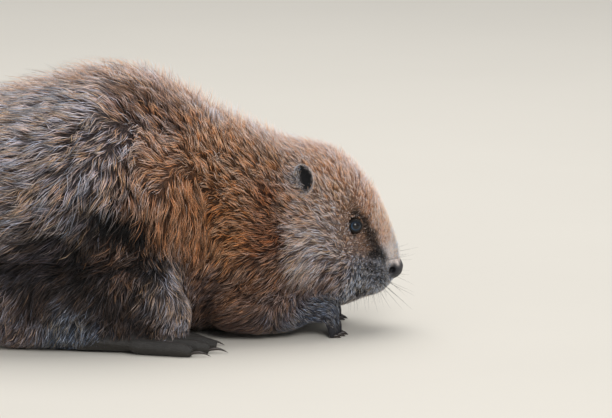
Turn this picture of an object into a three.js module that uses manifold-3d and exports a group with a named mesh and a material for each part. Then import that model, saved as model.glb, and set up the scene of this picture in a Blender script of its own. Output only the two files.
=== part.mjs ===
// A beaver at life size, crouched on the floor with its chin low and its forepaws arched before its chest.
// Millimetres. +X is the way it faces, +Y is its left and +Z is up; the floor is z = 0.
// Every outline is the outside of the coat. Lengths along the body are counted forward from the loin.
import * as THREE from "three";
import { mergeVertices } from "three/addons/utils/BufferGeometryUtils.js";
import Module from "manifold-3d";

const wasm = await Module();
wasm.setup();

// ---------------------------------------------------------------- driving dimensions

const GAP = 0.35; // between touching pieces
const FLOOR = 0;
const SIDES = { right: -1, left: 1 };

// The outline of trunk, neck and head, from the rump to the nose. Each section is a flat oval from a point on
// the back line to a point on the belly line; `half` is its half width, and `low` moves its width downwards.
const SECTIONS = {
  rumpEnd: { back: [-176, 84], belly: [-180, 26], half: 26, low: 0.0 },
  rumpBack: { back: [-162, 122], belly: [-172, 10], half: 68, low: 0.0 },
  rump: { back: [-130, 168], belly: [-142, -5], half: 103, low: 0.0 },
  hips: { back: [-78, 211], belly: [-88, -7], half: 128, low: 0.02 },
  loin: { back: [-6, 238], belly: [-14, -7], half: 142, low: 0.02 },
  hump: { back: [62, 255], belly: [56, -7], half: 146, low: 0.0 },
  flank: { back: [120, 264.5], belly: [116, -6], half: 138, low: 0.0 },
  lastRib: { back: [174, 247], belly: [170, -5], half: 118, low: 0.04 },
  ribs: { back: [212, 222], belly: [214, -4], half: 101, low: 0.08 },
  shoulders: { back: [248, 206], belly: [258, 2], half: 93, low: 0.08 },
  neck: { back: [282, 191], belly: [294, 14], half: 80, low: 0.06 },
  ears: { back: [314, 187], belly: [320, 22], half: 68, low: 0.08 },
  crown: { back: [339.5, 178], belly: [339, 24], half: 61, low: 0.12 },
  brow: { back: [361.5, 156], belly: [353, 28], half: 50, low: 0.12 },
  stop: { back: [378, 132.5], belly: [363, 31], half: 39, low: 0.1 },
  snout: { back: [388.5, 110], belly: [373, 33], half: 30, low: 0.08 },
  muzzle: { back: [396.5, 90], belly: [383, 37.5], half: 22.5, low: 0.08 },
  noseRoot: { back: [400, 76], belly: [391, 45.5], half: 14, low: 0.0 },
};
const SECTION_NAMES = Object.keys(SECTIONS);
const OVAL = 2.25; // 2 is an ellipse; more is squarer
const AROUND = 24;

// Swellings and hollows on that outline, the same on both sides: centre, reach along each axis, and height.
const SWELLINGS = {
  cheek: { at: [322, 52, 62], reach: [30, 40, 34], rise: 7 },
  jowl: { at: [345, 40, 38], reach: [20, 30, 14], rise: 2.5 },
  whiskerPad: { at: [380, 22, 52], reach: [10, 14, 12], rise: 4 },
  noseWing: { at: [396, 18, 62], reach: [8, 13, 12], rise: -7 },
  browRidge: { at: [352, 38, 122], reach: [13, 16, 9], rise: 2.4 },
  eyeSocket: { at: [357, 46, 110], reach: [11, 16, 9], rise: -3.2 },
  bridgeSide: { at: [378, 24, 92], reach: [14, 14, 13], rise: -3.4 },
  shoulder: { at: [248, 80, 92], reach: [34, 40, 52], rise: 7 },
  armpit: { at: [208, 90, 40], reach: [15, 50, 40], rise: -7 },
  flankFold: { at: [172, 118, 135], reach: [20, 60, 62], rise: 7 },
  haunch: { at: [30, 140, 128], reach: [90, 60, 44], rise: 7 },
  underFlank: { at: [60, 120, 62], reach: [130, 60, 34], rise: -22 },
};

// The pieces that the outline is parted into: first and last section, and how many rings.
const BODY_PIECES = {
  rump: { from: "rumpEnd", to: "hips", rings: 6, coat: "back" },
  belly: { from: "hips", to: "lastRib", rings: 9, coat: "back" },
  chest: { from: "lastRib", to: "shoulders", rings: 6, coat: "fore" },
  neck: { from: "shoulders", to: "neck", rings: 4, coat: "fore" },
  head: { from: "neck", to: "stop", rings: 8, coat: "face" },
  snout: { from: "stop", to: "noseRoot", rings: 6, coat: "face" },
};

const JAW = { hinge: [318, 46], lip: [369, 34.5], front: 369 };
const EYE = { at: [353.8, 42.4, 110.5], radius: 7.4 };
const EAR = { at: [303, 60, 161], half: [11, 8.5, 15.5], wall: 2.2, hollow: 9, depth: 6, flare: 0.25, turn: 0.3, lean: -0.17 };
const NOSE_PAD = { at: [391.4, 0, 61.5], half: [11.8, 19.5, 11.8], tilt: 0.45 };
const NOSTRIL = { at: [391.6, 18, 61.5], half: [4.2, 6, 3.2], tilt: 0.6 };

// Limbs run through points of [x, y, z, half width, half height], with y counted outwards from the middle.
const THIGH = [
  [-46, 92, 68, 42, 44],
  [30, 103, 55, 46, 45],
  [105, 108, 50, 43, 43],
  [148, 103, 54, 34, 38],
];
const SHANK = [
  [166, 113, 36, 29, 34],
  [120, 116, 21, 31, 20],
  [60, 118, 17, 29, 17],
  [8, 114, 15, 22, 14],
];
const FOREARM = [
  [228, 70, 36, 24, 29],
  [262, 67, 28, 22.5, 25],
  [290, 56, 25, 18.5, 20],
  [302, 50, 25, 16, 14.5],
];
const FOREPAW = [
  [306, 49, 25, 14.5, 12.5],
  [318, 45, 24.5, 16, 11.5],
  [329, 43, 22, 15.5, 10],
];
const FOOT = [
  [14, 114, 12, 17, 13],
  [60, 118, 12.5, 21, 13],
  [110, 121, 11.5, 26, 12],
  [146, 122, 9, 32, 9.5],
];
// Digits, from the inner to the outer one: how far they reach and drop, and how they spread.
const FINGER = { spread: 7, fan: 1.6, back: 1.8, half: 4.6, reach: [7, 9, 10, 9, 6.5], drop: 21.9 };
const TOE = { spread: 12.5, fan: 6.5, back: 3, half: 7.4, reach: [50, 64, 72, 68, 54], drop: 4.5 };
const WEB = { thick: 5, reach: 0.84, scallop: 7 };
const CLAW = {
  finger: { length: 9, half: 2.3, drop: 1.2, sunk: 1.5 },
  toe: { length: 20, half: 3.4, drop: 4, sunk: 2 },
};

const TAIL_ROOT = [
  [-140, 0, 58, 74, 56],
  [-178, 0, 40, 54, 38],
  [-206, 0, 23, 37, 22],
];
const TAIL_BLADE = { start: -200, tip: -441, half: 64, thick: 9.5, root: 34 };

const COLOURS = {
  back: "#5a4436",
  fore: "#7a4c2c",
  face: "#8a6448",
  leg: "#3d312b",
  skin: "#2b2827",
  horn: "#1c1715",
  eye: "#0c0a0a",
  scale: "#343130",
};

// ---------------------------------------------------------------- geometry to solid and back

// A closed BufferGeometry as a manifold-3d solid, turned to face out.
function solidFrom(geometry) {
  const bare = geometry.index ? geometry.toNonIndexed() : geometry.clone();
  for (const name of Object.keys(bare.attributes)) {
    if (name !== "position") bare.deleteAttribute(name);
  }
  const merged = mergeVertices(bare, 1e-4);
  const vertProperties = new Float32Array(merged.attributes.position.array);
  const triVerts = new Uint32Array(merged.index.array);
  const solid = new wasm.Manifold(new wasm.Mesh({ numProp: 3, vertProperties, triVerts }));
  if (solid.volume() > 0) return solid;
  for (let i = 0; i < triVerts.length; i += 3) {
    [triVerts[i + 1], triVerts[i + 2]] = [triVerts[i + 2], triVerts[i + 1]];
  }
  return new wasm.Manifold(new wasm.Mesh({ numProp: 3, vertProperties, triVerts }));
}

// The largest body of a solid, as a BufferGeometry.
function geometryFrom(solid) {
  const [largest] = solid.decompose().sort((a, b) => b.volume() - a.volume());
  const mesh = largest.getMesh();
  const positions = new Float32Array(mesh.numVert * 3);
  for (let i = 0; i < mesh.numVert; i++) {
    positions.set(mesh.vertProperties.subarray(i * mesh.numProp, i * mesh.numProp + 3), i * 3);
  }
  const geometry = new THREE.BufferGeometry();
  geometry.setAttribute("position", new THREE.BufferAttribute(positions, 3));
  geometry.setIndex(new THREE.BufferAttribute(mesh.triVerts, 1));
  geometry.computeVertexNormals();
  return geometry;
}

const union = (solids) => solids.reduce((sum, solid) => sum.add(solid));

// ---------------------------------------------------------------- lofted shapes

// Skins a row of rings, each a list of points in the same order, and closes both ends on their middles.
function loft(rings) {
  const around = rings[0].length;
  const points = rings.flat();
  const faces = [];
  for (let r = 0; r + 1 < rings.length; r++) {
    for (let i = 0; i < around; i++) {
      const [a, b] = [r * around + i, r * around + ((i + 1) % around)];
      faces.push(a, b, b + around, a, b + around, a + around);
    }
  }
  [0, rings.length - 1].forEach((r) => {
    const middle = rings[r].reduce((sum, p) => sum.add(p), new THREE.Vector3()).divideScalar(around);
    points.push(middle);
    for (let i = 0; i < around; i++) {
      const [a, b] = [r * around + i, r * around + ((i + 1) % around)];
      faces.push(...(r === 0 ? [b, a] : [a, b]), points.length - 1);
    }
  });
  return new THREE.BufferGeometry().setFromPoints(points).setIndex(faces);
}

const DOMED = [0.93, 0.6];
const BLUNT = [0.8];
const FLAT = [];

// A rounded limb through rows of [x, y, z, half width, half height]. Its width lies across Y. Each end
// is domed through the depths that `ends` gives it, or flat without them.
function limb(rows, { around = 14, rings = 7, grow = 0, dome = 1, ends = [DOMED, DOMED] } = {}) {
  const path = new THREE.CatmullRomCurve3(rows.map(([x, y, z]) => new THREE.Vector3(x, y, z)));
  const sizes = new THREE.CatmullRomCurve3(rows.map((row) => new THREE.Vector3(row[3], row[4], 0)));
  const ring = (t, shrink, ahead) => {
    const centre = path.getPoint(t);
    const size = sizes.getPoint(t);
    const along = path.getTangent(t);
    const across = new THREE.Vector3(0, 1, 0).addScaledVector(along, -along.y).normalize();
    const up = new THREE.Vector3().crossVectors(along, across);
    centre.addScaledVector(along, ahead);
    return Array.from({ length: around }, (_, i) => {
      const angle = (i / around) * 2 * Math.PI;
      return centre
        .clone()
        .addScaledVector(across, Math.cos(angle) * (size.x + grow) * shrink)
        .addScaledVector(up, Math.sin(angle) * (size.y + grow) * shrink);
    });
  };
  const cap = (t, sense) => {
    const depths = ends[t];
    if (depths.length === 0) return grow > 0 ? [ring(t, 1, sense * grow)] : [];
    const size = sizes.getPoint(t);
    const reach = Math.min(size.x, size.y) * dome + grow;
    return depths.map((depth) => ring(t, Math.sqrt(1 - depth * depth), sense * depth * reach));
  };
  const middle = Array.from({ length: rings }, (_, i) => ring(i / (rings - 1), 1, 0));
  return loft([...cap(0, -1), ...middle, ...cap(1, 1).toReversed()]);
}

// An ellipsoid with half sizes [x, y, z], turned by `tilt` about Y.
function ellipsoid({ at, half, tilt = 0 }, grow = 0, detail = 14) {
  const sphere = new THREE.SphereGeometry(1, detail, Math.round(detail * 0.7));
  sphere.scale(...half.map((size) => size + grow));
  sphere.rotateY(tilt);
  return sphere.translate(...at);
}

// ---------------------------------------------------------------- trunk, neck and head

const profile = {
  back: new THREE.CatmullRomCurve3(SECTION_NAMES.map((n) => vectorXZ(SECTIONS[n].back))),
  belly: new THREE.CatmullRomCurve3(SECTION_NAMES.map((n) => vectorXZ(SECTIONS[n].belly))),
  width: new THREE.CatmullRomCurve3(
    SECTION_NAMES.map((n) => new THREE.Vector3(SECTIONS[n].half, SECTIONS[n].low, 0)),
  ),
};

function vectorXZ([x, z]) {
  return new THREE.Vector3(x, 0, z);
}

// How far the swellings lift the outline at a point.
function swell(point) {
  return Object.values(SWELLINGS).reduce((sum, { at, reach, rise }) => {
    const dx = (point.x - at[0]) / reach[0];
    const dy = (Math.abs(point.y) - at[1]) / reach[1];
    const dz = (point.z - at[2]) / reach[2];
    return sum + rise * Math.exp(-(dx * dx + dy * dy + dz * dz));
  }, 0);
}

// The section at t, which counts sections from the rump, with `grow` added all round.
function bodyRing(t, grow = 0) {
  const u = t / (SECTION_NAMES.length - 1);
  const [back, belly, width] = [profile.back, profile.belly, profile.width].map((c) => c.getPoint(u));
  const middle = back.clone().add(belly).multiplyScalar(0.5);
  const rise = back.clone().sub(belly).multiplyScalar(0.5);
  const up = rise.clone().normalize();
  return Array.from({ length: AROUND }, (_, i) => {
    const angle = (i / AROUND) * 2 * Math.PI;
    const [c, s] = [Math.cos(angle), Math.sin(angle)];
    const [tall, wide] = [c, s].map((v) => Math.sign(v) * Math.abs(v) ** (2 / OVAL));
    const point = middle.clone().addScaledVector(rise, tall);
    point.y = width.x * wide * (1 - width.y * tall);
    const outward = up.clone().multiplyScalar(tall * rise.length());
    outward.y = point.y;
    return point.addScaledVector(outward.normalize(), swell(point) + grow);
  });
}

// A closed length of the body between two sections. Its ends are flat and stand half a gap short of them.
function bodyPiece({ from, to, rings }, grow = 0) {
  const [first, last] = [from, to].map((name) => SECTION_NAMES.indexOf(name));
  const made = Array.from({ length: rings }, (_, i) =>
    bodyRing(first + ((last - first) * i) / (rings - 1), grow),
  );
  const inset = (ring, inner) => {
    const [a, b, c] = [ring[0], ring[AROUND / 4], ring[AROUND / 2]];
    const along = b.clone().sub(a).cross(c.clone().sub(a)).normalize();
    if (along.dot(inner[0].clone().sub(a)) < 0) along.negate();
    ring.forEach((p) => p.addScaledVector(along, GAP / 2));
  };
  if (grow === 0) {
    inset(made[0], made[1]);
    inset(made[rings - 1], made[rings - 2]);
  }
  return loft(made);
}

const body = union(Object.values(BODY_PIECES).map((piece) => solidFrom(bodyPiece(piece, GAP))));

// ---------------------------------------------------------------- limbs, ears, eyes, nose and tail

const outwards = (rows, side) => rows.map(([x, y, z, ...sizes]) => [x, y * side, z, ...sizes]);

// A row of five digits that spread from the last point of `sole`, and the claw in front of each one.
function digits(sole, plan, claw, side) {
  const [x, y, z] = sole.at(-1);
  return plan.reach.map((reach, i) => {
    const step = i - (plan.reach.length - 1) / 2;
    const root = [x - Math.abs(step) * plan.back, (y + step * plan.spread) * side, z];
    const aside = step * plan.fan * side;
    const along = (share, fall) => [root[0] + reach * share, root[1] + aside * share, z - plan.drop * fall];
    const tip = along(1, 1);
    const toe = [
      [...along(-0.1, 0), plan.half * 1.15, plan.half],
      [...along(0.6, 0.2), plan.half * 1.08, plan.half * 1.08],
      [...along(0.93, 0.75), plan.half, plan.half * 0.95],
      [...tip, plan.half * 0.75, plan.half * 0.7],
    ];
    const ahead = new THREE.Vector3(...tip).sub(new THREE.Vector3(...toe[2].slice(0, 3))).normalize();
    const base = new THREE.Vector3(...tip).addScaledVector(ahead, -claw.sunk).toArray();
    const nail = [
      [...base, claw.half, claw.half],
      [base[0] + claw.length * 0.5, base[1] + aside * 0.08, base[2] - claw.drop * 0.4, claw.half * 0.8, claw.half * 0.75],
      [base[0] + claw.length, base[1] + aside * 0.14, base[2] - claw.drop, claw.half * 0.25, claw.half * 0.25],
    ];
    return { root, end: along(WEB.reach, 0), toe, nail };
  });
}

const toesOf = (made) => made.map(({ toe }) => limb(toe, { around: 6, rings: 3, ends: [FLAT, FLAT] }));
const nailsOf = (made, grow) => made.map(({ nail }) => solidFrom(limb(nail, { around: 4, rings: 3, ends: [FLAT, FLAT], grow })));

// The forepaw: an arched palm, fingers that curl down to the floor, and their claws.
function forepaw(side, grow = 0) {
  const made = digits(FOREPAW, FINGER, CLAW.finger, side);
  const palm = limb(outwards(FOREPAW, side), { around: 8, rings: 3, grow, ends: [BLUNT, BLUNT] });
  return { flesh: union([palm, ...toesOf(made)].map(solidFrom)), nails: nailsOf(made, grow) };
}

// The hind foot: a long flat sole, five toes with one web between them, and their claws.
function hindfoot(side, grow = 0) {
  const made = digits(FOOT, TOE, CLAW.toe, side);
  const edge = made.flatMap(({ end, root }, i) => {
    if (i === 0) return [end];
    const between = [0, 1].map((k) => (end[k] + made[i - 1].end[k]) / 2);
    return [[between[0] - WEB.scallop, between[1]], end];
  });
  const outline = new THREE.Shape([made[0].root, ...edge, made.at(-1).root].map(([x, y]) => new THREE.Vector2(x, y)));
  const web = new THREE.ExtrudeGeometry(outline, { depth: WEB.thick, bevelEnabled: false });
  const sole = limb(outwards(FOOT, side), { around: 8, rings: 3, grow, ends: [BLUNT, BLUNT] });
  const solids = [sole, ...toesOf(made), web.translate(0, 0, FLOOR)].map(solidFrom);
  return { flesh: union(solids), nails: nailsOf(made, grow) };
}

// The ear: a short rounded cup that opens outwards and a little forwards.
function ear(side) {
  const [long, deep, tall] = EAR.half;
  const outer = new THREE.SphereGeometry(1, 12, 7).scale(long, deep, tall);
  const inner = new THREE.SphereGeometry(1, 10, 5)
    .scale(long - EAR.wall, EAR.hollow, tall - EAR.wall)
    .translate(0, EAR.depth, 0);
  const shape = geometryFrom(solidFrom(outer).subtract(solidFrom(inner)));
  shape.rotateX(EAR.flare).rotateZ(-EAR.turn).rotateY(EAR.lean).scale(1, side, 1);
  return solidFrom(shape.translate(EAR.at[0], EAR.at[1] * side, EAR.at[2]));
}

// The bare paddle of the tail, which widens from the root and ends in a round tip.
function tailBlade(grow = 0) {
  const { start, tip, half, thick, root } = TAIL_BLADE;
  const steps = 12;
  const rows = Array.from({ length: steps }, (_, i) => {
    const t = i / (steps - 1);
    const widen = root + (half - root) * Math.sin(Math.min(t / 0.5, 1) * (Math.PI / 2)) ** 1.3;
    const round = Math.sqrt(Math.max(1 - Math.max((t - 0.55) / 0.455, 0) ** 2.6, 0.002));
    const deep = THREE.MathUtils.lerp(thick * 1.55, thick * 0.62, Math.sqrt(t)) * Math.max(round, 0.35);
    return [THREE.MathUtils.lerp(start, tip, t), 0, deep - 0.8, widen * round, deep];
  });
  return limb(rows, { around: 14, rings: 10, grow, dome: 0.2, ends: [BLUNT, BLUNT] });
}

// ---------------------------------------------------------------- assembly

const beaver = new THREE.Group();
const materials = Object.fromEntries(
  Object.entries(COLOURS).map(([name, color]) => [
    name,
    new THREE.MeshStandardMaterial({ color, roughness: name === "eye" ? 0.1 : 0.8, metalness: 0 }),
  ]),
);
const underFloor = solidFrom(new THREE.BoxGeometry(1200, 600, 100).translate(0, 0, FLOOR - 50));

// Adds one named piece, cut level with the floor and clear of `others`, which are already grown by the gap.
function add(name, material, solid, others = []) {
  const cut = [underFloor, ...others].reduce((left, other) => left.subtract(other), solid);
  const mesh = new THREE.Mesh(geometryFrom(cut), materials[material]);
  mesh.name = name;
  beaver.add(mesh);
}

// A wedge that takes the lower jaw out of head and snout, from its hinge to the lip.
function jawWedge(grow) {
  const [hinge, lip] = [JAW.hinge, JAW.lip];
  const outline = [hinge, lip, [JAW.front, 0], [hinge[0], 0]].map(([x, z]) => new THREE.Vector2(x, z));
  const wedge = new THREE.ExtrudeGeometry(new THREE.Shape(outline), { depth: 200, bevelEnabled: false });
  wedge.rotateX(Math.PI / 2).translate(0, 100, 0);
  return solidFrom(wedge.translate(grow, 0, grow));
}

const eyes = Object.values(SIDES).map((side) => {
  const at = [EYE.at[0], EYE.at[1] * side, EYE.at[2]];
  const half = Array(3).fill(EYE.radius);
  return { plain: ellipsoid({ at, half }, 0, 10), grown: solidFrom(ellipsoid({ at, half }, GAP, 10)) };
});
const nosePad = solidFrom(ellipsoid(NOSE_PAD, 0, 10));
const noseGrown = solidFrom(ellipsoid(NOSE_PAD, GAP, 10));
const nostrils = Object.values(SIDES).map((side) =>
  solidFrom(ellipsoid({ ...NOSTRIL, at: [NOSTRIL.at[0], NOSTRIL.at[1] * side, NOSTRIL.at[2]] }, 0, 7)),
);

add("nose", "skin", nosePad, nostrils);
Object.keys(SIDES).forEach((side, i) => add(`eye_${side}`, "eye", solidFrom(eyes[i].plain)));

const jawRange = { from: "ears", to: "snout", rings: 8 };
const jaw = solidFrom(bodyPiece(jawRange)).intersect(jawWedge(0));
add("lower_jaw", "face", jaw);
for (const [name, piece] of Object.entries(BODY_PIECES)) {
  const inFace = name === "head" || name === "snout";
  const others = inFace ? [...eyes.map((e) => e.grown), noseGrown, jawWedge(GAP)] : [];
  add(name, piece.coat, solidFrom(bodyPiece(piece)), others);
}

const tailRoot = solidFrom(limb(TAIL_ROOT, { around: 10, rings: 4, dome: 0.3, ends: [BLUNT, BLUNT] }));
const tailRootGrown = solidFrom(limb(TAIL_ROOT, { around: 10, rings: 4, dome: 0.3, ends: [BLUNT, BLUNT], grow: GAP }));
add("tail_root", "back", tailRoot, [body]);
add("tail", "scale", solidFrom(tailBlade()), [body, tailRootGrown]);

for (const [name, side] of Object.entries(SIDES)) {
  add(`ear_${name}`, "skin", ear(side), [body]);

  const leg = (rows, options) =>
    [0, GAP].map((grow) => solidFrom(limb(outwards(rows, side), { rings: 4, grow, ...options })));
  const [thigh, thighGrown] = leg(THIGH, { around: 12 });
  const [shank, shankGrown] = leg(SHANK, { around: 10 });
  const [arm] = leg(FOREARM, { around: 10 });
  const [foot, footGrown] = [hindfoot(side), hindfoot(side, GAP)];
  const [paw, pawGrown] = [forepaw(side), forepaw(side, GAP)];

  add(`thigh_${name}`, "leg", thigh, [body]);
  add(`shank_${name}`, "leg", shank, [body, thighGrown]);
  add(`hindfoot_${name}`, "skin", foot.flesh, [body, thighGrown, shankGrown, ...footGrown.nails]);
  foot.nails.forEach((nail, i) => add(`hindclaw_${name}_${i + 1}`, "horn", nail));

  add(`forearm_${name}`, "leg", arm, [body, pawGrown.flesh]);
  add(`forepaw_${name}`, "skin", paw.flesh, [body, ...pawGrown.nails]);
  paw.nails.forEach((nail, i) => add(`foreclaw_${name}_${i + 1}`, "horn", nail));
}

// The frame's origin is on the floor, under the middle of the whole animal.
const bounds = new THREE.Box3().setFromObject(beaver);
const middle = bounds.getCenter(new THREE.Vector3());
beaver.position.set(-middle.x, -middle.y, -bounds.min.z);

export default beaver;
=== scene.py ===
"""A life-size museum model of a crouching beaver.

One skin, a coat of mesh tufts, eyes, claws, whiskers and tail scales are made round the solids of the frame.
"""

import math

import bmesh
import bpy
import numpy as np
from mathutils import Matrix, Vector, kdtree


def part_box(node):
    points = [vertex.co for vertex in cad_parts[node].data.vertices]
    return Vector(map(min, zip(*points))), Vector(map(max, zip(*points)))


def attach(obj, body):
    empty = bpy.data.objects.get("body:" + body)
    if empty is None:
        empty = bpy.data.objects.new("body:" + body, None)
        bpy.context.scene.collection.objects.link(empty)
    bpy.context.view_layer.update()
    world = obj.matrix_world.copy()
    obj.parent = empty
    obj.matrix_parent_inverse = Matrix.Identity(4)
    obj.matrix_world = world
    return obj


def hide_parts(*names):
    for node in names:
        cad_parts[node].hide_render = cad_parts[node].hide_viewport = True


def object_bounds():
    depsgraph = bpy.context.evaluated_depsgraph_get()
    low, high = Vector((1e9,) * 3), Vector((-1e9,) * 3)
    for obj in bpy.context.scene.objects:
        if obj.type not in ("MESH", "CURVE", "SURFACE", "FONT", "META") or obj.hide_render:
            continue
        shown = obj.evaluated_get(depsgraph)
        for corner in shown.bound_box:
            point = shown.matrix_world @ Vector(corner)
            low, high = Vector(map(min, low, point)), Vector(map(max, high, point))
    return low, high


bl_info = {
    "name": "Museum Beaver",
    "version": (1, 0, 0),
    "blender": (4, 5, 0),
    "location": "3D View > Sidebar > Beaver",
    "description": "Dresses the solids of a life-size beaver with skin, coat, eyes, claws, whiskers and tail scales",
    "category": "Object",
}

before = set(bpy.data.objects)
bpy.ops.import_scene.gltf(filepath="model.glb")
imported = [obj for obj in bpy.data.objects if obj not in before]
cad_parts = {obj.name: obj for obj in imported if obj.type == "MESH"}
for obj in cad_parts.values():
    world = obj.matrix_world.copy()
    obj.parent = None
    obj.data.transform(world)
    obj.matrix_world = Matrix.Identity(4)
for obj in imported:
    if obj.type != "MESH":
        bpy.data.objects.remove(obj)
CAD_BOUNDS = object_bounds()
MM = 0.001
SIDES = {"right": -1, "left": 1}
NOSE_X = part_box("nose")[1].x / MM  # every x below is in millimetres from the tip of the nose, and negative

# ------------------------------------------------------------------ the coat, as named measures

# For each solid of flesh: how deep the coat lies on it, and how bare, smooth and finely meshed its skin is.
FLESH = {
    "rump": dict(depth=13, bare=0, smooth=1.0, keep=0.22),
    "belly": dict(depth=13, bare=0, smooth=1.0, keep=0.22),
    "chest": dict(depth=11, bare=0, smooth=1.0, keep=0.26),
    "neck": dict(depth=9, bare=0, smooth=1.0, keep=0.3),
    "head": dict(depth=5.5, bare=0, smooth=0.9, keep=0.55),
    "snout": dict(depth=2.6, bare=0, smooth=0.7, keep=1.0),
    "lower_jaw": dict(depth=3.5, bare=0, smooth=0.8, keep=0.8),
    "nose": dict(depth=0, bare=1, smooth=0.25, keep=1.0),
    "ear": dict(depth=0, bare=0, smooth=0.25, keep=1.0),
    "tail_root": dict(depth=6, bare=0, smooth=1.0, keep=0.3),
    "tail": dict(depth=0.6, bare=1, smooth=0.8, keep=0.4),
    "thigh": dict(depth=9, bare=0, smooth=1.0, keep=0.3),
    "shank": dict(depth=6, bare=0, smooth=0.9, keep=0.35),
    "hindfoot": dict(depth=0, bare=1, smooth=0.22, keep=0.7),
    "forearm": dict(depth=4, bare=0, smooth=0.6, keep=0.45),
    "forepaw": dict(depth=0, bare=1, smooth=0.18, keep=1.0),
}
KINDS = list(FLESH)


def kind_of(node):
    """The row of FLESH that a solid belongs to, or None for eyes and claws."""
    longest_first = sorted(KINDS, key=len, reverse=True)
    return next((k for k in longest_first if node in (k, f"{k}_right", f"{k}_left")), None)


FLESH_NODES = [n for n in sorted(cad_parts) if kind_of(n)]


# ------------------------------------------------------------------ numbers and meshes

def read(mesh):
    """The points and the triangles of a mesh, as arrays."""
    points = np.empty(len(mesh.vertices) * 3, np.float32)
    mesh.vertices.foreach_get("co", points)
    mesh.calc_loop_triangles()
    triangles = np.empty(len(mesh.loop_triangles) * 3, np.int32)
    mesh.loop_triangles.foreach_get("vertices", triangles)
    return points.reshape(-1, 3).astype(float), triangles.reshape(-1, 3)


def write(name, points, faces):
    """A mesh from an array of points and one of faces that all have as many corners."""
    mesh = bpy.data.meshes.new(name)
    corners = faces.shape[1]
    mesh.vertices.add(len(points))
    mesh.vertices.foreach_set("co", np.asarray(points, np.float32).ravel())
    mesh.loops.add(faces.size)
    mesh.loops.foreach_set("vertex_index", np.asarray(faces, np.int32).ravel())
    mesh.polygons.add(len(faces))
    mesh.polygons.foreach_set("loop_start", np.arange(0, faces.size, corners, dtype=np.int32))
    mesh.update(calc_edges=True)
    mesh.validate()
    mesh.shade_smooth()
    return mesh


def edges_of(mesh):
    pairs = np.empty(len(mesh.edges) * 2, np.int32)
    mesh.edges.foreach_get("vertices", pairs)
    return pairs.reshape(-1, 2)


def normals_of(points, triangles):
    a, b, c = (points[triangles[:, i]] for i in range(3))
    face = np.cross(b - a, c - a)
    total = [sum(np.bincount(triangles[:, i], face[:, k], len(points)) for i in range(3)) for k in range(3)]
    return unit(np.stack(total, 1))


def unit(v):
    return v / np.maximum(np.linalg.norm(v, axis=-1, keepdims=True), 1e-12)


def averaged(values, pairs):
    """Each point's value replaced by the mean of its neighbours'."""
    i, j = pairs.T
    size = len(values)
    count = np.maximum(np.bincount(pairs.ravel(), minlength=size), 1)
    flat = values.reshape(size, -1)
    total = [np.bincount(i, column[j], size) + np.bincount(j, column[i], size) for column in flat.T]
    return (np.stack(total, 1) / count[:, None]).reshape(values.shape)


def spread(values, pairs, rounds, share=0.7):
    """Values evened out between neighbours, so many times."""
    for _ in range(rounds):
        values = values + (averaged(values, pairs) - values) * share
    return values


def tree_of(points):
    """A tree in which the nearest of the points is found."""
    tree = kdtree.KDTree(len(points))
    for i, point in enumerate(points.tolist()):
        tree.insert(point, i)
    tree.balance()
    return tree


def nearest(tree, points):
    find = tree.find
    return np.array([find(point)[1] for point in points.tolist()], np.int64)


def ripple(points, length, seed, waves=7):
    """Smooth noise from about -1 to 1, in which a rise and fall is about `length` metres long."""
    rng = np.random.default_rng(seed)
    ways = unit(rng.normal(size=(waves, 3))) * (2 * math.pi / length) * rng.uniform(0.6, 1.5, (waves, 1))
    return np.sin(points @ ways.T + rng.uniform(0, 2 * math.pi, waves)).sum(1) * (1.4 / math.sqrt(waves)) * 0.7


def linear(colour):
    """A colour such as '#c0aa99' as the linear numbers that a shader takes."""
    value = np.array([int(colour[i : i + 2], 16) / 255 for i in (1, 3, 5)])
    return np.where(value <= 0.04045, value / 12.92, ((value + 0.055) / 1.055) ** 2.4)


def paint(mesh, name, colours):
    opaque = np.concatenate([colours, np.ones((len(colours), 1))], 1)
    mesh.attributes.new(name, "FLOAT_COLOR", "POINT").data.foreach_set("color", opaque.astype(np.float32).ravel())


def measure(mesh, name, values):
    mesh.attributes.new(name, "FLOAT", "POINT").data.foreach_set("value", np.asarray(values, np.float32))


def place(name, mesh, material=None):
    """A new object that holds the mesh where it is."""
    thing = bpy.data.objects.new(name, mesh)
    bpy.context.scene.collection.objects.link(thing)
    if material:
        mesh.materials.clear()
        mesh.materials.append(material)
    return thing


def evaluated(thing):
    """The plain mesh that a thing's modifiers make of it, after which it has none."""
    graph = bpy.context.evaluated_depsgraph_get()
    graph.update()
    mesh = bpy.data.meshes.new_from_object(thing.evaluated_get(graph), depsgraph=graph)
    thing.modifiers.clear()
    return mesh


def forget(thing):
    mesh = thing.data
    bpy.data.objects.remove(thing)
    bpy.data.meshes.remove(mesh)


# ------------------------------------------------------------------ the skin

PELT = {}  # what the coat needs to know of the skin: its points, triangles, normals, measures and colours
SWELL = 0.5 * MM  # how far each solid is swollen, so that it runs into its neighbours
SINK_STEPS = 4  # in how many steps the skin is laid under the coat
GROUND_GAP = 0.3 * MM  # how far the skin stays over the floor


def flesh_solid():
    """All the solids of flesh as one mesh, each a little swollen."""
    whole = bmesh.new()
    for name in FLESH_NODES:
        part = bmesh.new()
        part.from_mesh(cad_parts[name].data)
        bmesh.ops.remove_doubles(part, verts=part.verts, dist=1e-6)
        part.normal_update()
        for v in part.verts:
            v.co += v.normal * SWELL
        copy = bpy.data.meshes.new("part")
        part.to_mesh(copy)
        part.free()
        whole.from_mesh(copy)
        bpy.data.meshes.remove(copy)
    mesh = bpy.data.meshes.new("flesh")
    whole.to_mesh(mesh)
    whole.free()
    return mesh


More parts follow.
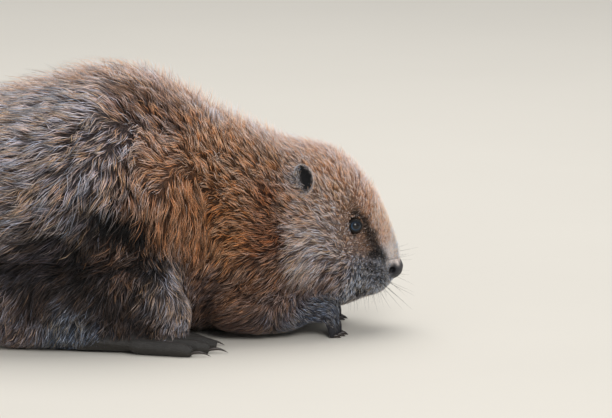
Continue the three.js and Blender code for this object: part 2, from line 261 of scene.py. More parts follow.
def flesh_samples(spacing=4.0):
    """Points strewn over each solid of flesh, and the kind of flesh at each."""
    rng = np.random.default_rng(5)
    points, kinds = [], []
    for name in FLESH_NODES:
        co, tri = read(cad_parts[name].data)
        a, b, c = (co[tri[:, i]] for i in range(3))
        area = np.linalg.norm(np.cross(b - a, c - a), axis=1) / 2
        count = max(int(area.sum() / (spacing * MM) ** 2), 60)
        pick = np.searchsorted(np.cumsum(area), rng.random(count) * area.sum()).clip(0, len(tri) - 1)
        r, s = np.sqrt(rng.random((count, 1))), rng.random((count, 1))
        points.append(a[pick] * (1 - r) + b[pick] * r * (1 - s) + c[pick] * r * s)
        kinds.append(np.full(count, KINDS.index(kind_of(name))))
    return np.concatenate(points), np.concatenate(kinds)


def by_kind(kinds, key):
    """A measure of FLESH at each point."""
    return np.array([FLESH[k][key] for k in KINDS], float)[kinds]


def at(x, y, z):
    """A place in metres from millimetres behind the nose, aside and up."""
    return np.array([x + NOSE_X, y, z]) * MM


def folded(points):
    """The points, with those of the right side mirrored on to the left, where all the places below lie."""
    return points * [1, 0, 1] + np.abs(points) * [0, 1, 0]


def bell(share):
    """1 where a share is 0, and falling off to either side."""
    return np.exp(-(share**2))


# Grooves pressed into the skin: where they run, how wide and how deep they are, in millimetres.
CREASES = {
    "mouth": ([(-52, 24, 45), (-37, 19, 36.5), (-33, 8, 33)], 1.7, 2.6),
    "lip_split": ([(-4, 0, 52), (-9, 0, 45), (-15, 0, 40)], 1.3, 1.8),
    "cheek_back": ([(-122, 76, 152), (-116, 82, 120), (-113, 82, 88), (-106, 72, 60)], 5, 2.6),
    "flank_front": ([(-212, 104, 176), (-199, 104, 142), (-197, 100, 100), (-200, 96, 50)], 7, 5.5),
    "over_thigh": ([(-400, 146, 92), (-330, 152, 92), (-262, 150, 86), (-210, 128, 88)], 8, 6),
    "brow": ([(-66, 50, 116), (-56, 50, 124), (-44, 42, 124)], 2.4, 0.8),
    "under_eye": ([(-64, 52, 101), (-54, 51, 98), (-42, 44, 103)], 2.2, 0.8),
    **{
        f"finger_{i}": ([(-72, y, 25), (-66, y + 0.3 * i - 0.45, 16), (-63, y + 0.6 * i - 0.9, 3)], 1.5, 2.6)
        for i, y in enumerate((32.5, 39.5, 46.5, 53.5))
    },
    "knuckle": ([(-70, 30, 17), (-66, 44, 19), (-71, 60, 16)], 1.2, 0.9),
    "snout_back": ([(-24, 24, 96), (-18, 25, 84), (-20, 26, 70)], 2.6, 0.9),
}
# Swellings and pits of the skin: where they sit, how far they reach and how high they rise, in millimetres.
SWELLS = {
    "nostril": ((-11, 14.5, 61), (3.0, 4.0, 2.6), -4.5),
    "nostril_slit": ((-15, 19, 58), (3.0, 3.0, 1.5), -2.5),
    "whisker_pad": ((-27, 25, 58), (11, 9, 11), 1.5),
    "flank_fold": ((-214, 108, 150), (9, 16, 34), 4),
    "cheek": ((-84, 62, 84), (22, 14, 24), 2.2),
    "jowl": ((-62, 36, 44), (18, 12, 9), 1.2),
    "nostril_rim": ((-8, 17, 69), (6, 5, 3), 0.9),
}


def along(points, line):
    """How far each point is from a line of places, on either side of the body."""
    p = folded(points)
    stops = [at(*stop) for stop in line]
    shortest = np.linalg.norm(p - stops[0], axis=1)
    for a, b in zip(stops, stops[1:]):
        t = ((p - a) @ (b - a) / ((b - a) @ (b - a))).clip(0, 1)
        shortest = np.minimum(shortest, np.linalg.norm(p - a - t[:, None] * (b - a), axis=1))
    return shortest


# The ear: its middle, its half size, the hollow in its outer face and how it is turned, as in the solid.
EAR = {"at": (-100, 60, 161), "hollow": (8.8, 9, 13.3), "deep": 6, "flare": 0.25, "turn": 0.3, "lean": -0.17}


def ear_axes():
    """The rows that take a way along the body to the same way along the ear."""
    turns = ((-EAR["flare"], "X"), (EAR["turn"], "Z"), (-EAR["lean"], "Y"))
    flare, turn, lean = (Matrix.Rotation(angle, 3, axis) for angle, axis in turns)
    return np.array(flare @ turn @ lean)


def in_ear(points):
    """Places as shares of the hollow of the ear: 1 away from (0, 0, 0) is the wall of the hollow."""
    p = (folded(points) - at(*EAR["at"])) / MM
    return (p @ ear_axes().T - [0, EAR["deep"], 0]) / EAR["hollow"]


def away(points, middle, reach):
    """The square of each point's way from a place, in shares of a reach along each axis."""
    return (((folded(points) - at(*middle)) / (np.array(reach) * MM)) ** 2).sum(1)


def pressed(points):
    """How far the skin is pushed out at each point by its creases and swellings, in metres."""
    push = np.zeros(len(points))
    for line, width, depth in CREASES.values():
        push -= depth * MM * bell(along(points, line) / (width * MM))
    for middle, reach, rise in SWELLS.values():
        push += rise * MM * np.exp(-away(points, middle, reach))
    return push


def thinned(thing, weights, target, levels=10):
    """The thing's mesh with about `target` triangles, most of them where the weights are high."""
    group = thing.vertex_groups.new(name="keep")
    steps = (weights.clip(0, 1) * levels).round().astype(int)
    for step in range(levels + 1):
        group.add(np.nonzero(steps == step)[0].tolist(), step / levels, "REPLACE")
    cut = thing.modifiers.new("Decimate", "DECIMATE")
    cut.ratio = target / (2 * len(thing.data.polygons))
    cut.vertex_group = "keep"
    cut.invert_vertex_group = True
    cut.vertex_group_factor = 6.0
    cut.use_collapse_triangulate = True
    return evaluated(thing)


def build_skin(settings):
    """The points and triangles of the skin, with the kind of flesh, bareness and depth of coat at each point."""
    solid = place("flesh", flesh_solid())
    grid = solid.modifiers.new("Remesh", "REMESH")
    grid.mode = "VOXEL"
    grid.voxel_size = settings.grain
    mesh = evaluated(solid)
    forget(solid)
    points, triangles = read(mesh)
    pairs = edges_of(mesh)

    sample, kinds = flesh_samples()
    kind = kinds[nearest(tree_of(sample), points)]
    bare = spread(by_kind(kind, "bare"), pairs, 3)
    depth = spread(by_kind(kind, "depth"), pairs, 60) * (1 - spread(by_kind(kind, "bare"), pairs, 6)).clip(0, 1)
    hold = spread(by_kind(kind, "smooth"), pairs, 4)[:, None]
    for _ in range(settings.rounds):
        points = points + (averaged(points, pairs) - points) * 0.65 * hold
    for _ in range(SINK_STEPS):
        points = points - normals_of(points, triangles) * (depth * MM * settings.coat / SINK_STEPS)[:, None]
        points = points + (averaged(points, pairs) - points) * 0.5 * hold
    points = points + normals_of(points, triangles) * pressed(points)[:, None]
    points[:, 2] = points[:, 2].clip(GROUND_GAP)

    mesh.vertices.foreach_set("co", points.astype(np.float32).ravel())
    mesh.update()
    rough = place("rough", mesh)
    fine = thinned(rough, spread(by_kind(kind, "keep"), pairs, 10), settings.triangles)
    forget(rough)
    before = tree_of(points)
    points, triangles = read(fine)
    same = nearest(before, points)
    bpy.data.meshes.remove(fine)
    return points, triangles, kind[same], bare[same], depth[same]


# ------------------------------------------------------------------ the lie and colours of the coat

# Colours of a tuft at its root, its middle and its tip.
TINTS = {
    "grey_back": ("#362c2c", "#e4cec8", "#fffaf8"),
    "crest": ("#584439", "#e4bea8", "#fffaf6"),
    "hump": ("#1c1414", "#b39d9b", "#fff4f0"),
    "hump_brown": ("#1e130e", "#785747", "#d6b4a0"),
    "fan": ("#6a4733", "#f4bc98", "#ffeade"),
    "fold": ("#3c261a", "#9c6b4a", "#e2b08c"),
    "fold_edge": ("#4c2e1d", "#b6774b", "#f4b98e"),
    # underfold: painted shade under the fold of the flank
    "underfold": ("#010101", "#040302", "#140e0b"),
    "flank_low": ("#0a0808", "#2e2729", "#706366"),
    # dark: painted shade in the crease over the thigh, along the lower flank and at the corner of the mouth
    "dark": ("#050303", "#0e0a09", "#28201d"),
    "leg": ("#110c0b", "#2c2321", "#5a4c46"),
    "leg_pale": ("#2a2222", "#a49592", "#ddd0cc"),
    "leg_blue": ("#191a1e", "#666a74", "#b8bdc8"),
    "hem": ("#1f1919", "#766767", "#d2c4c4"),
    "rust": ("#3e2617", "#c48a5e", "#ffdcc0"),
    "rust_dark": ("#2a170c", "#b07446", "#f6c094"),
    "neck_shade": ("#1a0d05", "#7c4526", "#d08c60"),
    "chest": ("#20130d", "#7c563f", "#c49c82"),
    "chest_dark": ("#160f0b", "#5c453a", "#967a6e"),
    "crown": ("#ac8270", "#fbd8c4", "#fff4ee"),
    "forehead": ("#94603e", "#f6ba8e", "#fff2e8"),
    "bridge": ("#d49c7a", "#ffdcc0", "#fff8f2"),
    "temple": ("#58402f", "#eab896", "#fff4ec"),
    "mask": ("#060403", "#150d0a", "#45322a"),
    # gap: painted shade in gaps and grooves behind the cheek, on the nape, at the flank fold and before the ear
    "gap": ("#080403", "#20140e", "#5c4030"),
    "cheek_high": ("#5a463a", "#f0ccb8", "#fffaf8"),
    "cheek": ("#382a28", "#dec6be", "#fffcfa"),
    "cheek_low": ("#1e1512", "#675049", "#bca69c"),
    "muzzle": ("#33343a", "#c6c8d2", "#f8faff"),
    "snout_pale": ("#f0e0d8", "#fff6f2", "#ffffff"),
    "chin": ("#352d2b", "#9a918d", "#d8d1cd"),
    "arm": ("#0c0c11", "#4c515f", "#ccd2e0"),
    "belly": ("#1d1411", "#5a4a41", "#8f7f73"),
    "rump": ("#2a2020", "#a99693", "#fbeee8"),
    "ear_rim": ("#4a4547", "#a8a1a1", "#e0dad8"),
}

# How the coat lies: a place in millimetres behind the nose, aside and up; which way the tufts point; how long they
# are in millimetres; how high their tips stand, as a share of the coat's depth; and their tint.
GUIDES = [
    ((-572, 0, 74), (-1, 0, -0.4), 16, 0.8, "rump"),
    ((-575, 55, 40), (-1, 0.1, -0.25), 15, 0.8, "flank_low"),
    ((-560, 30, 12), (-1, 0, 0), 12, 0.7, "belly"),
    ((-555, 62, 105), (-0.9, 0.1, -0.6), 26, 0.9, "rump"),
    ((-490, 0, 202), (-0.9, 0, -0.5), 32, 1.0, "grey_back"),
    ((-520, 88, 110), (-0.85, 0.1, -0.6), 30, 1.0, "rump"),
    ((-490, 112, 42), (-0.75, 0.1, -0.65), 26, 0.9, "flank_low"),
    ((-450, 0, 230), (-1, 0, -0.2), 34, 1.0, "grey_back"),
    ((-450, 110, 160), (-0.9, 0, -0.5), 33, 1.0, "rump"),
    ((-400, 0, 240), (-1, 0, -0.1), 34, 1.0, "grey_back"),
    ((-390, 92, 216), (-1, 0, -0.18), 34, 1.0, "grey_back"),
    ((-385, 130, 182), (-0.9, 0, -0.42), 34, 1.0, "rump"),
    ((-370, 143, 130), (-0.9, 0, -0.45), 33, 1.0, "rump"),
    ((-350, 0, 252), (-1, 0, 0), 34, 1.1, "crest"),
    ((-345, 70, 240), (-1, 0, -0.12), 34, 1.0, "grey_back"),
    ((-340, 122, 200), (-0.85, 0, -0.5), 32, 1.0, "rump"),
    ((-303, 0, 265), (-0.85, 0, 0.35), 30, 1.35, "crest"),
    ((-310, 75, 243), (-0.9, 0, -0.3), 28, 1.05, "grey_back"),
    ((-306, 116, 208), (-0.4, 0, -0.9), 24, 1.0, "hump"),
    ((-300, 138, 170), (-0.35, 0, -0.9), 26, 1.0, "hump"),
    ((-330, 142, 150), (-0.75, 0, -0.65), 30, 1.0, "hump"),
    ((-263, 0, 262), (-0.8, 0, 0.5), 26, 1.35, "crest"),
    ((-265, 70, 240), (-0.9, 0, 0.1), 22, 1.0, "hump_brown"),
    ((-268, 112, 210), (-0.4, 0, -0.8), 21, 1.0, "hump"),
    ((-262, 130, 172), (-0.3, 0, -0.9), 24, 1.0, "hump_brown"),
    ((-228, 60, 232), (-0.8, 0, 0.2), 18, 1.0, "hump_brown"),
    ((-244, 108, 204), (-0.85, 0, 0.35), 22, 1.1, "fan"),
    ((-236, 120, 182), (-0.75, 0, -0.3), 24, 1.1, "fan"),
    ((-222, 116, 158), (-0.25, 0, -0.95), 24, 1.0, "fold"),
    ((-216, 114, 122), (-0.1, 0, -1), 26, 1.0, "fold"),
    ((-238, 124, 128), (-0.15, 0, -1), 26, 1.0, "fold"),
    ((-206, 104, 150), (-0.1, 0, -1), 22, 1.0, "fold_edge"),
    ((-204, 102, 108), (-0.05, 0, -1), 22, 1.0, "fold_edge"),
    # painted shade under the fold of the flank
    ((-280, 136, 122), (-0.45, 0, -0.85), 28, 1.0, "underfold"),
    ((-270, 130, 101), (-0.5, 0, -0.85), 22, 0.9, "hump_brown"),
    ((-345, 142, 106), (-0.85, 0, -0.5), 30, 1.0, "flank_low"),
    ((-395, 140, 90), (-0.85, 0, -0.5), 30, 1.0, "flank_low"),
    # painted shade in the crease over the thigh
    ((-310, 146, 90), (-0.6, 0, -0.8), 22, 0.8, "dark"),
    ((-240, 138, 90), (-0.3, 0, -0.95), 18, 0.8, "dark"),
    ((-300, 146, 72), (-0.55, 0, -0.85), 22, 1.0, "leg"),
    ((-262, 150, 55), (-0.45, 0, -0.9), 20, 1.0, "leg"),
    ((-225, 136, 62), (-0.12, 0, -1), 20, 1.0, "leg_pale"),
    ((-227, 118, 80), (-0.12, 0, -1), 20, 1.0, "leg_pale"),
    ((-215, 120, 40), (-0.1, 0, -1), 16, 1.0, "leg_pale"),
    ((-360, 146, 60), (-0.45, 0, -0.9), 24, 1.0, "leg"),
    ((-400, 138, 50), (-0.5, 0, -0.85), 26, 1.0, "hem"),
    ((-385, 145, 24), (-0.3, 0, -1), 22, 1.0, "hem"),
    ((-335, 146, 18), (-0.3, 0, -1), 18, 1.0, "leg_blue"),
    ((-260, 140, 24), (-0.3, 0, -1), 14, 1.0, "leg"),
    ((-183, 0, 220), (-0.85, 0, 0.5), 20, 1.4, "crest"),
    ((-170, 55, 198), (-0.8, 0, 0.6), 16, 1.1, "rust"),
    ((-185, 85, 180), (-0.85, 0, 0.4), 17, 1.0, "rust"),
    ((-160, 92, 152), (-0.95, 0, 0.25), 17, 1.0, "rust"),
    ((-185, 92, 140), (-1, 0, 0.05), 17, 0.9, "rust_dark"),
    ((-170, 98, 106), (-1, 0, -0.1), 18, 1.0, "rust_dark"),
    ((-165, 95, 56), (-0.85, 0, -0.5), 18, 1.0, "chest"),
    ((-188, 88, 60), (-0.8, 0, -0.5), 17, 0.9, "chest_dark"),
    ((-155, 70, 18), (-0.85, 0, -0.35), 16, 0.9, "chest_dark"),
    ((-133, 0, 192), (-0.85, 0, 0.5), 18, 1.35, "crest"),
    ((-128, 52, 172), (-0.85, 0, 0.5), 14, 1.05, "rust"),
    ((-122, 78, 145), (-0.85, 0, 0.4), 14, 1.0, "neck_shade"),
    ((-124, 84, 105), (-1, 0, 0), 15, 0.9, "neck_shade"),
    ((-126, 82, 70), (-0.85, 0, -0.45), 17, 1.0, "chest"),
    ((-116, 62, 34), (-0.85, 0, -0.45), 14, 0.9, "chest"),
    ((-98, 0, 183), (-0.95, 0, 0.4), 15, 1.3, "crown"),
    ((-72, 0, 172), (-0.6, 0, 0.8), 13, 1.35, "crown"),
    ((-78, 26, 172), (-0.6, 0, 0.8), 12, 1.15, "forehead"),
    ((-84, 40, 166), (-0.55, 0, 0.8), 11, 1.0, "forehead"),
    ((-62, 30, 156), (-0.55, 0, 0.8), 11, 1.1, "forehead"),
    ((-60, 12, 163), (-0.55, 0, 0.8), 12, 1.25, "crown"),
    ((-45, 0, 143), (-0.5, 0, 0.85), 10, 1.3, "crown"),
    ((-38, 8, 137), (-0.5, 0, 0.85), 10, 1.2, "crown"),
    ((-38, 16, 130), (-0.5, 0, 0.85), 9, 1.1, "forehead"),
    ((-30, 24, 116), (-0.5, 0, 0.85), 8, 1.0, "bridge"),
    ((-22, 0, 112), (-0.4, 0, 0.9), 8, 1.1, "bridge"),
    ((-20, 15, 100), (-0.45, 0, 0.85), 6, 1.0, "bridge"),
    ((-10, 0, 86), (-0.4, 0, 0.9), 4, 1.0, "snout_pale"),
    ((-12, 14, 79), (-0.6, 0, 0.7), 3.5, 1.0, "snout_pale"),
    ((-90, 48, 168), (-0.7, 0, 0.7), 13, 1.0, "temple"),
    ((-70, 50, 148), (-0.65, 0, 0.75), 14, 1.0, "temple"),
    ((-112, 62, 162), (-0.8, 0.2, 0.4), 12, 1.0, "rust"),
    ((-92, 68, 136), (-0.88, 0, 0.35), 15, 1.0, "temple"),
    ((-58, 48, 137), (-0.75, 0, 0.6), 10, 1.0, "temple"),
    ((-111, 76, 137), (-0.95, 0, 0.2), 16, 1.0, "rust"),
    ((-104, 70, 150), (-0.9, 0, 0.4), 14, 1.0, "rust"),
    ((-72, 60, 124), (-0.88, 0, 0.45), 13, 1.0, "cheek_high"),
    ((-60, 54, 106), (-0.95, 0, 0.25), 8, 1.0, "cheek_high"),
    ((-50, 47, 98), (-0.9, 0, 0.4), 4, 1.0, "cheek_high"),
    ((-61, 50, 113), (-0.95, 0, 0.3), 4.5, 1.0, "cheek_high"),
    ((-50, 43, 124), (-0.8, 0, 0.6), 3.5, 1.0, "temple"),
    ((-39, 39, 111), (-0.7, 0, 0.5), 3.5, 1.0, "temple"),
    ((-35, 37, 92), (-0.85, 0, 0.5), 5, 1.0, "temple"),
    ((-96, 74, 110), (-0.98, 0, -0.1), 20, 1.15, "cheek_high"),
    ((-76, 66, 96), (-1, 0, 0.05), 16, 1.1, "cheek"),
    ((-58, 54, 82), (-1, 0, 0.05), 11, 1.0, "cheek"),
    ((-91, 74, 82), (-0.85, 0, -0.5), 25, 1.35, "cheek"),
    ((-62, 52, 66), (-0.9, 0, -0.4), 13, 1.0, "cheek_low"),
    ((-80, 62, 56), (-0.65, 0, -0.75), 16, 1.1, "cheek_low"),
    ((-104, 70, 54), (-0.6, 0, -0.8), 18, 1.0, "cheek_low"),
    ((-46, 40, 70), (-0.95, 0, 0.0), 7, 1.0, "muzzle"),
    ((-48, 36, 52), (-0.9, 0, -0.35), 8, 1.0, "muzzle"),
    ((-28, 30, 64), (-0.95, 0, -0.1), 4, 1.0, "muzzle"),
    ((-17, 22, 50), (-0.9, 0, -0.1), 3.5, 1.0, "muzzle"),
    ((-20, 27, 73), (-0.9, 0, 0.2), 3.5, 1.0, "muzzle"),
    ((-50, 24, 33), (-0.85, 0, -0.45), 8, 1.0, "chin"),
    ((-78, 20, 26), (-0.9, 0, -0.3), 10, 1.0, "chin"),
    ((-96, 64, 28), (0.9, 0, -0.35), 8, 1.0, "arm"),
    ((-112, 68, 22), (0.85, 0, -0.45), 10, 1.0, "arm"),
    ((-84, 54, 36), (0.9, 0, -0.2), 7, 1.0, "arm"),
    ((-66, 44, 26), (0.4, 0, -0.9), 5, 1.0, "arm"),
    ((-100, 60, 165), (-0.5, 0.6, 0.6), 4, 1.0, "ear_rim"),
    ((-108, 62, 158), (-0.9, 0.3, 0.2), 4, 1.0, "ear_rim"),
    ((-300, 0, 0), (-1, 0, 0), 16, 0.8, "belly"),
    ((-450, 0, 0), (-1, 0, 0), 16, 0.8, "belly"),
    ((-180, 0, 0), (-1, 0, 0), 14, 0.8, "belly"),
]

# Narrow markings and painted shade over the coat: where they run, how wide they are in millimetres, their tint and its
# strength.
MARKS = {
    "eye_band": ([(-46, 43, 122), (-41, 41, 117), (-36, 38, 110), (-30, 35, 98), (-25, 32, 86)], 6.2, "mask", 0.88),
    "snout_saddle": ([(-31, 36, 80), (-24, 31, 80), (-19, 26, 77)], 4.2, "mask", 0.9),
    "snout_stripe": ([(-13, 8, 88), (-11, 17, 82), (-11, 20, 73)], 3.8, "snout_pale", 1.0),
    "snout_shade": ([(-32, 38, 70), (-29, 35, 62), (-26, 33, 54)], 2.6, "mask", 0.7),
    # painted shade at the corner of the mouth
    "mouth_corner": ([(-44, 34, 45), (-37, 27, 39)], 5.2, "dark", 1.0),
    # painted shade in the groove behind the cheek
    "cheek_gap": ([(-118, 72, 150), (-117, 80, 125), (-116, 82, 100), (-111, 76, 76), (-104, 64, 52)], 4, "gap", 0.65),
    # painted shade under the fold of the flank, along its hem, at its end and along its line
    "under_fold": ([(-328, 134, 150), (-298, 135, 142), (-268, 131, 130), (-258, 128, 118)], 14, "underfold", 1.0),
    "fold_hem": ([(-273, 126, 94), (-242, 119, 82)], 7, "underfold", 0.85),
    "fold_end": ([(-211, 108, 104), (-206, 106, 74)], 5.5, "gap", 0.85),
    "fold_line": ([(-242, 119, 92), (-206, 106, 86)], 4.5, "underfold", 0.65),
    # painted shadow in the crease over the thigh, where the flank overhangs it
    "thigh_crease": ([(-403, 140, 90), (-343, 134, 89), (-273, 126, 88)], 6, "dark", 0.7),
    "flank_shade": ([(-410, 140, 124), (-335, 142, 126)], 15, "dark", 0.62),
    "nape_shade": ([(-150, 45, 190), (-131, 44, 184), (-115, 46, 175)], 5, "gap", 0.55),
    # painted shade on the front of the flank fold
    "fold_side": ([(-195, 98, 168), (-194, 98, 130), (-195, 98, 96)], 4.5, "gap", 0.5),
    "ear_shade": ([(-91, 56, 150), (-88, 54, 160)], 2.2, "gap", 0.3),
}
SPOT = (1.8, "mask", 0.75)  # a dark spot round a whisker, in the same way
SPOTTED_ROWS = 4  # so many rows of whiskers have spots
# How far the coat swirls out of its lie, in radians, over what length, in metres, and the seed of the swirl.
SWIRLS = ((0.20, 0.055, 3), (0.14, 0.02, 4))
HEAD_FROM = -125  # the coat swirls less from here forwards, in millimetres behind the nose
BLOTCHES = ((1.0, 0.007, 12), (0.6, 0.004, 13))  # strength, length and seed of the blotches of the muzzle
MUZZLE_REACH = 13 * MM
EAR_TUFT = 4.6  # how long the tufts of the ear are, in millimetres

# Whiskers in rows on each side: the first and the last root of a row in millimetres, how many there are, the way of
# its first and last whisker, and their length and thickness in millimetres.
WHISKERS = [
    ((-38, 39, 68), (-20, 29, 62), 6, (0.35, 0.9, 0.05), (0.85, 0.5, -0.02), 46, 0.46),
    ((-40, 38, 60), (-20, 27, 54), 6, (0.25, 0.85, -0.25), (0.8, 0.5, -0.3), 52, 0.48),
    ((-38, 34, 52), (-18, 24, 47), 5, (0.1, 0.75, -0.5), (0.6, 0.5, -0.6), 44, 0.42),
    ((-26, 31, 72), (-14, 20, 72), 4, (0.5, 0.75, 0.25), (0.9, 0.35, 0.18), 34, 0.36),
    ((-52, 22, 32), (-18, 8, 38), 9, (-0.2, 0.3, -0.9), (0.35, 0.15, -0.9), 18, 0.28),
    ((-50, 15, 30), (-24, 5, 34), 7, (-0.1, 0.2, -0.95), (0.25, 0.1, -0.95), 15, 0.26),
    ((-60, 45, 128), (-52, 42, 129), 3, (0.1, 0.6, 0.75), (0.3, 0.5, 0.8), 16, 0.22),
]

NOSE_STRIPE = [(-9, 17, 79), (-7, 13, 73), (-6, 13, 67)]  # the pale stripe that runs down on to the nose
MUZZLE = [(-42, 38, 62), (-26, 31, 60), (-20, 26, 50)]  # the middle of the blotched side of the muzzle


def whisker_roots(row):
    """Where the whiskers of a row are rooted, in millimetres."""
    first, last, count = row[:3]
    return [tuple(np.array(first) * (1 - t) + np.array(last) * t) for t in np.linspace(0, 1, count)]


def blended(points, rows, sharp=5.0, soft=11.0):
    """Each point's share in every guide: near ones count most, more so the sharper, and `soft` evens them out."""
    p = folded(points)
    shares = np.empty((len(p), len(rows)))
    for i, row in enumerate(rows):
        shares[:, i] = ((((p - at(*row[0])) / MM) ** 2).sum(1) + soft**2) ** (-sharp / 2)
    return shares / shares.sum(1, keepdims=True)


def tint(rows, part, shares):
    """The colours that the guides give to one part of the tufts: 0 the root, 1 the middle, 2 the tip."""
    return shares @ np.array([linear(TINTS[row[4]][part]) for row in rows])


def mixed(colours, colour, share):
    """Colours with a share of one other at each point."""
    return colours * (1 - share[:, None]) + linear(colour) * share[:, None]


def tinted(colours, name, share):
    """Colours of root, middle and tip with a share of a tint."""
    return [mixed(c, colour, share) for c, colour in zip(colours, TINTS[name])]


def groomed(points, normals, depth, pairs, ear):
    """The coat's direction, length, stand and colours at every point of the skin, with painted shade in its creases
    and gaps.
    """
    outer = points + normals * depth[:, None] * MM
    shares = blended(outer, GUIDES)
    mirror = np.where(points[:, 1:2] < 0, [1.0, -1.0, 1.0], 1.0)
    _, ways, lengths, stands, _ = zip(*GUIDES)
    way = (shares @ unit(np.array(ways, float))) * mirror
    way = unit(spread(way - normals * (way * normals).sum(1, keepdims=True), pairs, 3))
    on_head = ((points[:, 0] - at(HEAD_FROM, 0, 0)[0]) / (30 * MM)).clip(0, 1)
    turn = sum(turn * ripple(points, length, seed) for turn, length, seed in SWIRLS) * (1 - 0.6 * on_head)
    way = unit(turned(way, normals, turn))

    colours = [tint(GUIDES, part, shares) for part in range(3)]
    spots = [([root], *SPOT) for row in WHISKERS[:SPOTTED_ROWS] for root in whisker_roots(row)]
    # The marks tint the coat: dark markings and whisker spots, and painted shade in creases, gaps and under the fold.
    for line, width, name, strength in [*MARKS.values(), *spots]:
        off = along(outer, line) / (width * MM) * (1 + 0.25 * ripple(points, width * MM * 2.5, 6))
        colours = tinted(colours, name, strength * (1.5 * bell(off)).clip(0, 1))
    muzzle = bell(along(outer, MUZZLE) / MUZZLE_REACH) * 1.05
    blotch = sum(strength * ripple(points, length, seed) for strength, length, seed in BLOTCHES)
    blotch = (1 + muzzle * blotch).clip(0.1, 2)[:, None]
    colours = [colours[0] * blotch, (colours[1] * blotch).clip(0, 0.95), colours[2]]

    # The tufts of the ear run out from its hollow.
    out = (unit(in_ear(points) * EAR["hollow"] * [1, 0.3, 1]) @ ear_axes()) * mirror
    way = unit(way * (1 - ear[:, None]) + flat_on(out, normals) * ear[:, None])
    root, middle, tip = tinted(colours, "ear_rim", ear)
    length = (shares @ np.array(lengths, float)) * (1 - ear) + EAR_TUFT * ear
    stand = shares @ np.array(stands, float)
    return dict(way=way, length=length, stand=stand, root=root, middle=middle, tip=tip)


# ------------------------------------------------------------------ tufts

# For each kind of furred flesh: tufts of one layer on a square centimetre, the width of one in millimetres, how far
# they clump and how light the underfur is.
THICKNESS = {
    "rump": (15, 0.8, 0.85, 0.5),
    "belly": (17, 0.8, 0.9, 0.5),
    "chest": (27, 0.65, 0.7, 0.5),
    "neck": (31, 0.58, 0.6, 0.5),
    "head": (46, 0.48, 0.9, 0.66),
    "snout": (92, 0.31, 0.6, 0.8),
    "lower_jaw": (56, 0.38, 0.6, 0.66),
    "ear": (130, 0.28, 0, 0.8),
    "tail_root": (17, 0.75, 0.7, 0.5),
    "thigh": (21, 0.7, 0.7, 0.5),
    "shank": (27, 0.6, 0.6, 0.5),
    "forearm": (38, 0.46, 0.4, 0.5),
    "forepaw": (52, 0.34, 0.2, 0.5),
}
# The pieces of the coat: their kinds of flesh, whether they are parted down the middle, the slot of their finish and
# how large their clumps are, as a share.
COATS = {
    "rump": (("rump", "tail_root"), False, "back_fur", 1),
    "back": (("belly",), True, "back_fur", 1),
    "shoulder": (("chest", "neck"), True, "fore_fur", 1),
    "head": (("head", "ear"), True, "face_fur", 0.4),
    "face": (("snout", "lower_jaw"), True, "face_fur", 0.4),
    "leg": (("thigh", "shank", "forearm", "forepaw"), True, "leg_fur", 0.8),
}
# The layers of the coat. share: how many tufts; steps: bends of each; wide, length, stand: their size, as shares;
# clump: tufts in a clump; pull: how far they close up; light: their lightness, or 0 for that of THICKNESS; vary: how
# far it differs; pale: how pale the tips are; dark, frost: how many tufts are dark, and how many pale to the middle;
# fringe: 1 where the layer grows thick along the crown and back, and where its tips take more painted rim light.
LAYERS = {
    "under": dict(
        share=1.0, steps=1, wide=1.4, length=0.55, stand=0.6, clump=10, pull=0.4,
        light=0, vary=0.2, pale=0.1, dark=0, frost=0, fringe=0,
    ),
    "over": dict(
        share=1.0, steps=2, wide=1.0, length=1.0, stand=0.92, clump=13, pull=0.62,
        light=1.28, vary=0.5, pale=0.95, dark=0.28, frost=0.16, fringe=0,
    ),
    "guard": dict(
        share=0.08, steps=2, wide=0.6, length=1.2, stand=1.2, clump=3, pull=0.1,
        light=1.15, vary=0.2, pale=1.7, dark=0.1, frost=0.4, fringe=1,
    ),
}
# How far a tuft may stray from the place whose colours it has: at least this, in metres, and a share of its length.
STRAY = (0.0009, 0.11)
FAR_STRAY = (0.2, 3.6)  # how many tufts stray further, as a share, and how many times as far
# How unlike one another clumps are, and the tufts in a clump: in radians for the turns, otherwise as shares.
VARIETY = {
    "turn": (0.24, 0.16),
    "ruffle": (0, 0.7),  # a further turn, on the ear
    "loose": (0, 0.5),  # a further turn, of a tuft that lies loose
    "stand": (0.12, 0.1),
    "length": (0.1, 0.13),
    "bow": (0.05, 0.045),
    "light": (0.8, 0.8),
    "pale": (0.4, 0.45),
    "warm": (0.07, 0.14),
    "pull": (0, 0.3),
    "wide": (0, 0.18),
}
LOOSE = 0.05  # how many tufts lie loose, as a share
SOFT_CEILING = (CAD_BOUNDS[1][2] + 4.5 * MM, 0.7)  # the height over which tips are laid down, and by what share
LOWEST = 0.4 * MM  # no part of a tuft is nearer the floor
# Painted rim light, mixed into the tips along the crown and back.
RIM_LIGHT_TINT = "#ffe4d4"
TIP_FROM = 0.45  # how far up a tuft its middle colour lies, as a share
CORNERS = (math.pi / 2, math.pi * 7 / 6, math.pi * 11 / 6)  # of a tuft's cross-section, as angles
FLATNESS = 0.62  # how thick a tuft is, as a share of its width
TAPER = ([0, 0.35, 1], [0.75, 1.0, 0.35])  # places along a tuft, and its width there, as shares
TUFT_PATCH = 0.003  # how wide a tuft's patch on the bake map is
MOST_TRIANGLES = 200000  # a piece of the coat has fewer
BAKE_MAP = "OFBake"


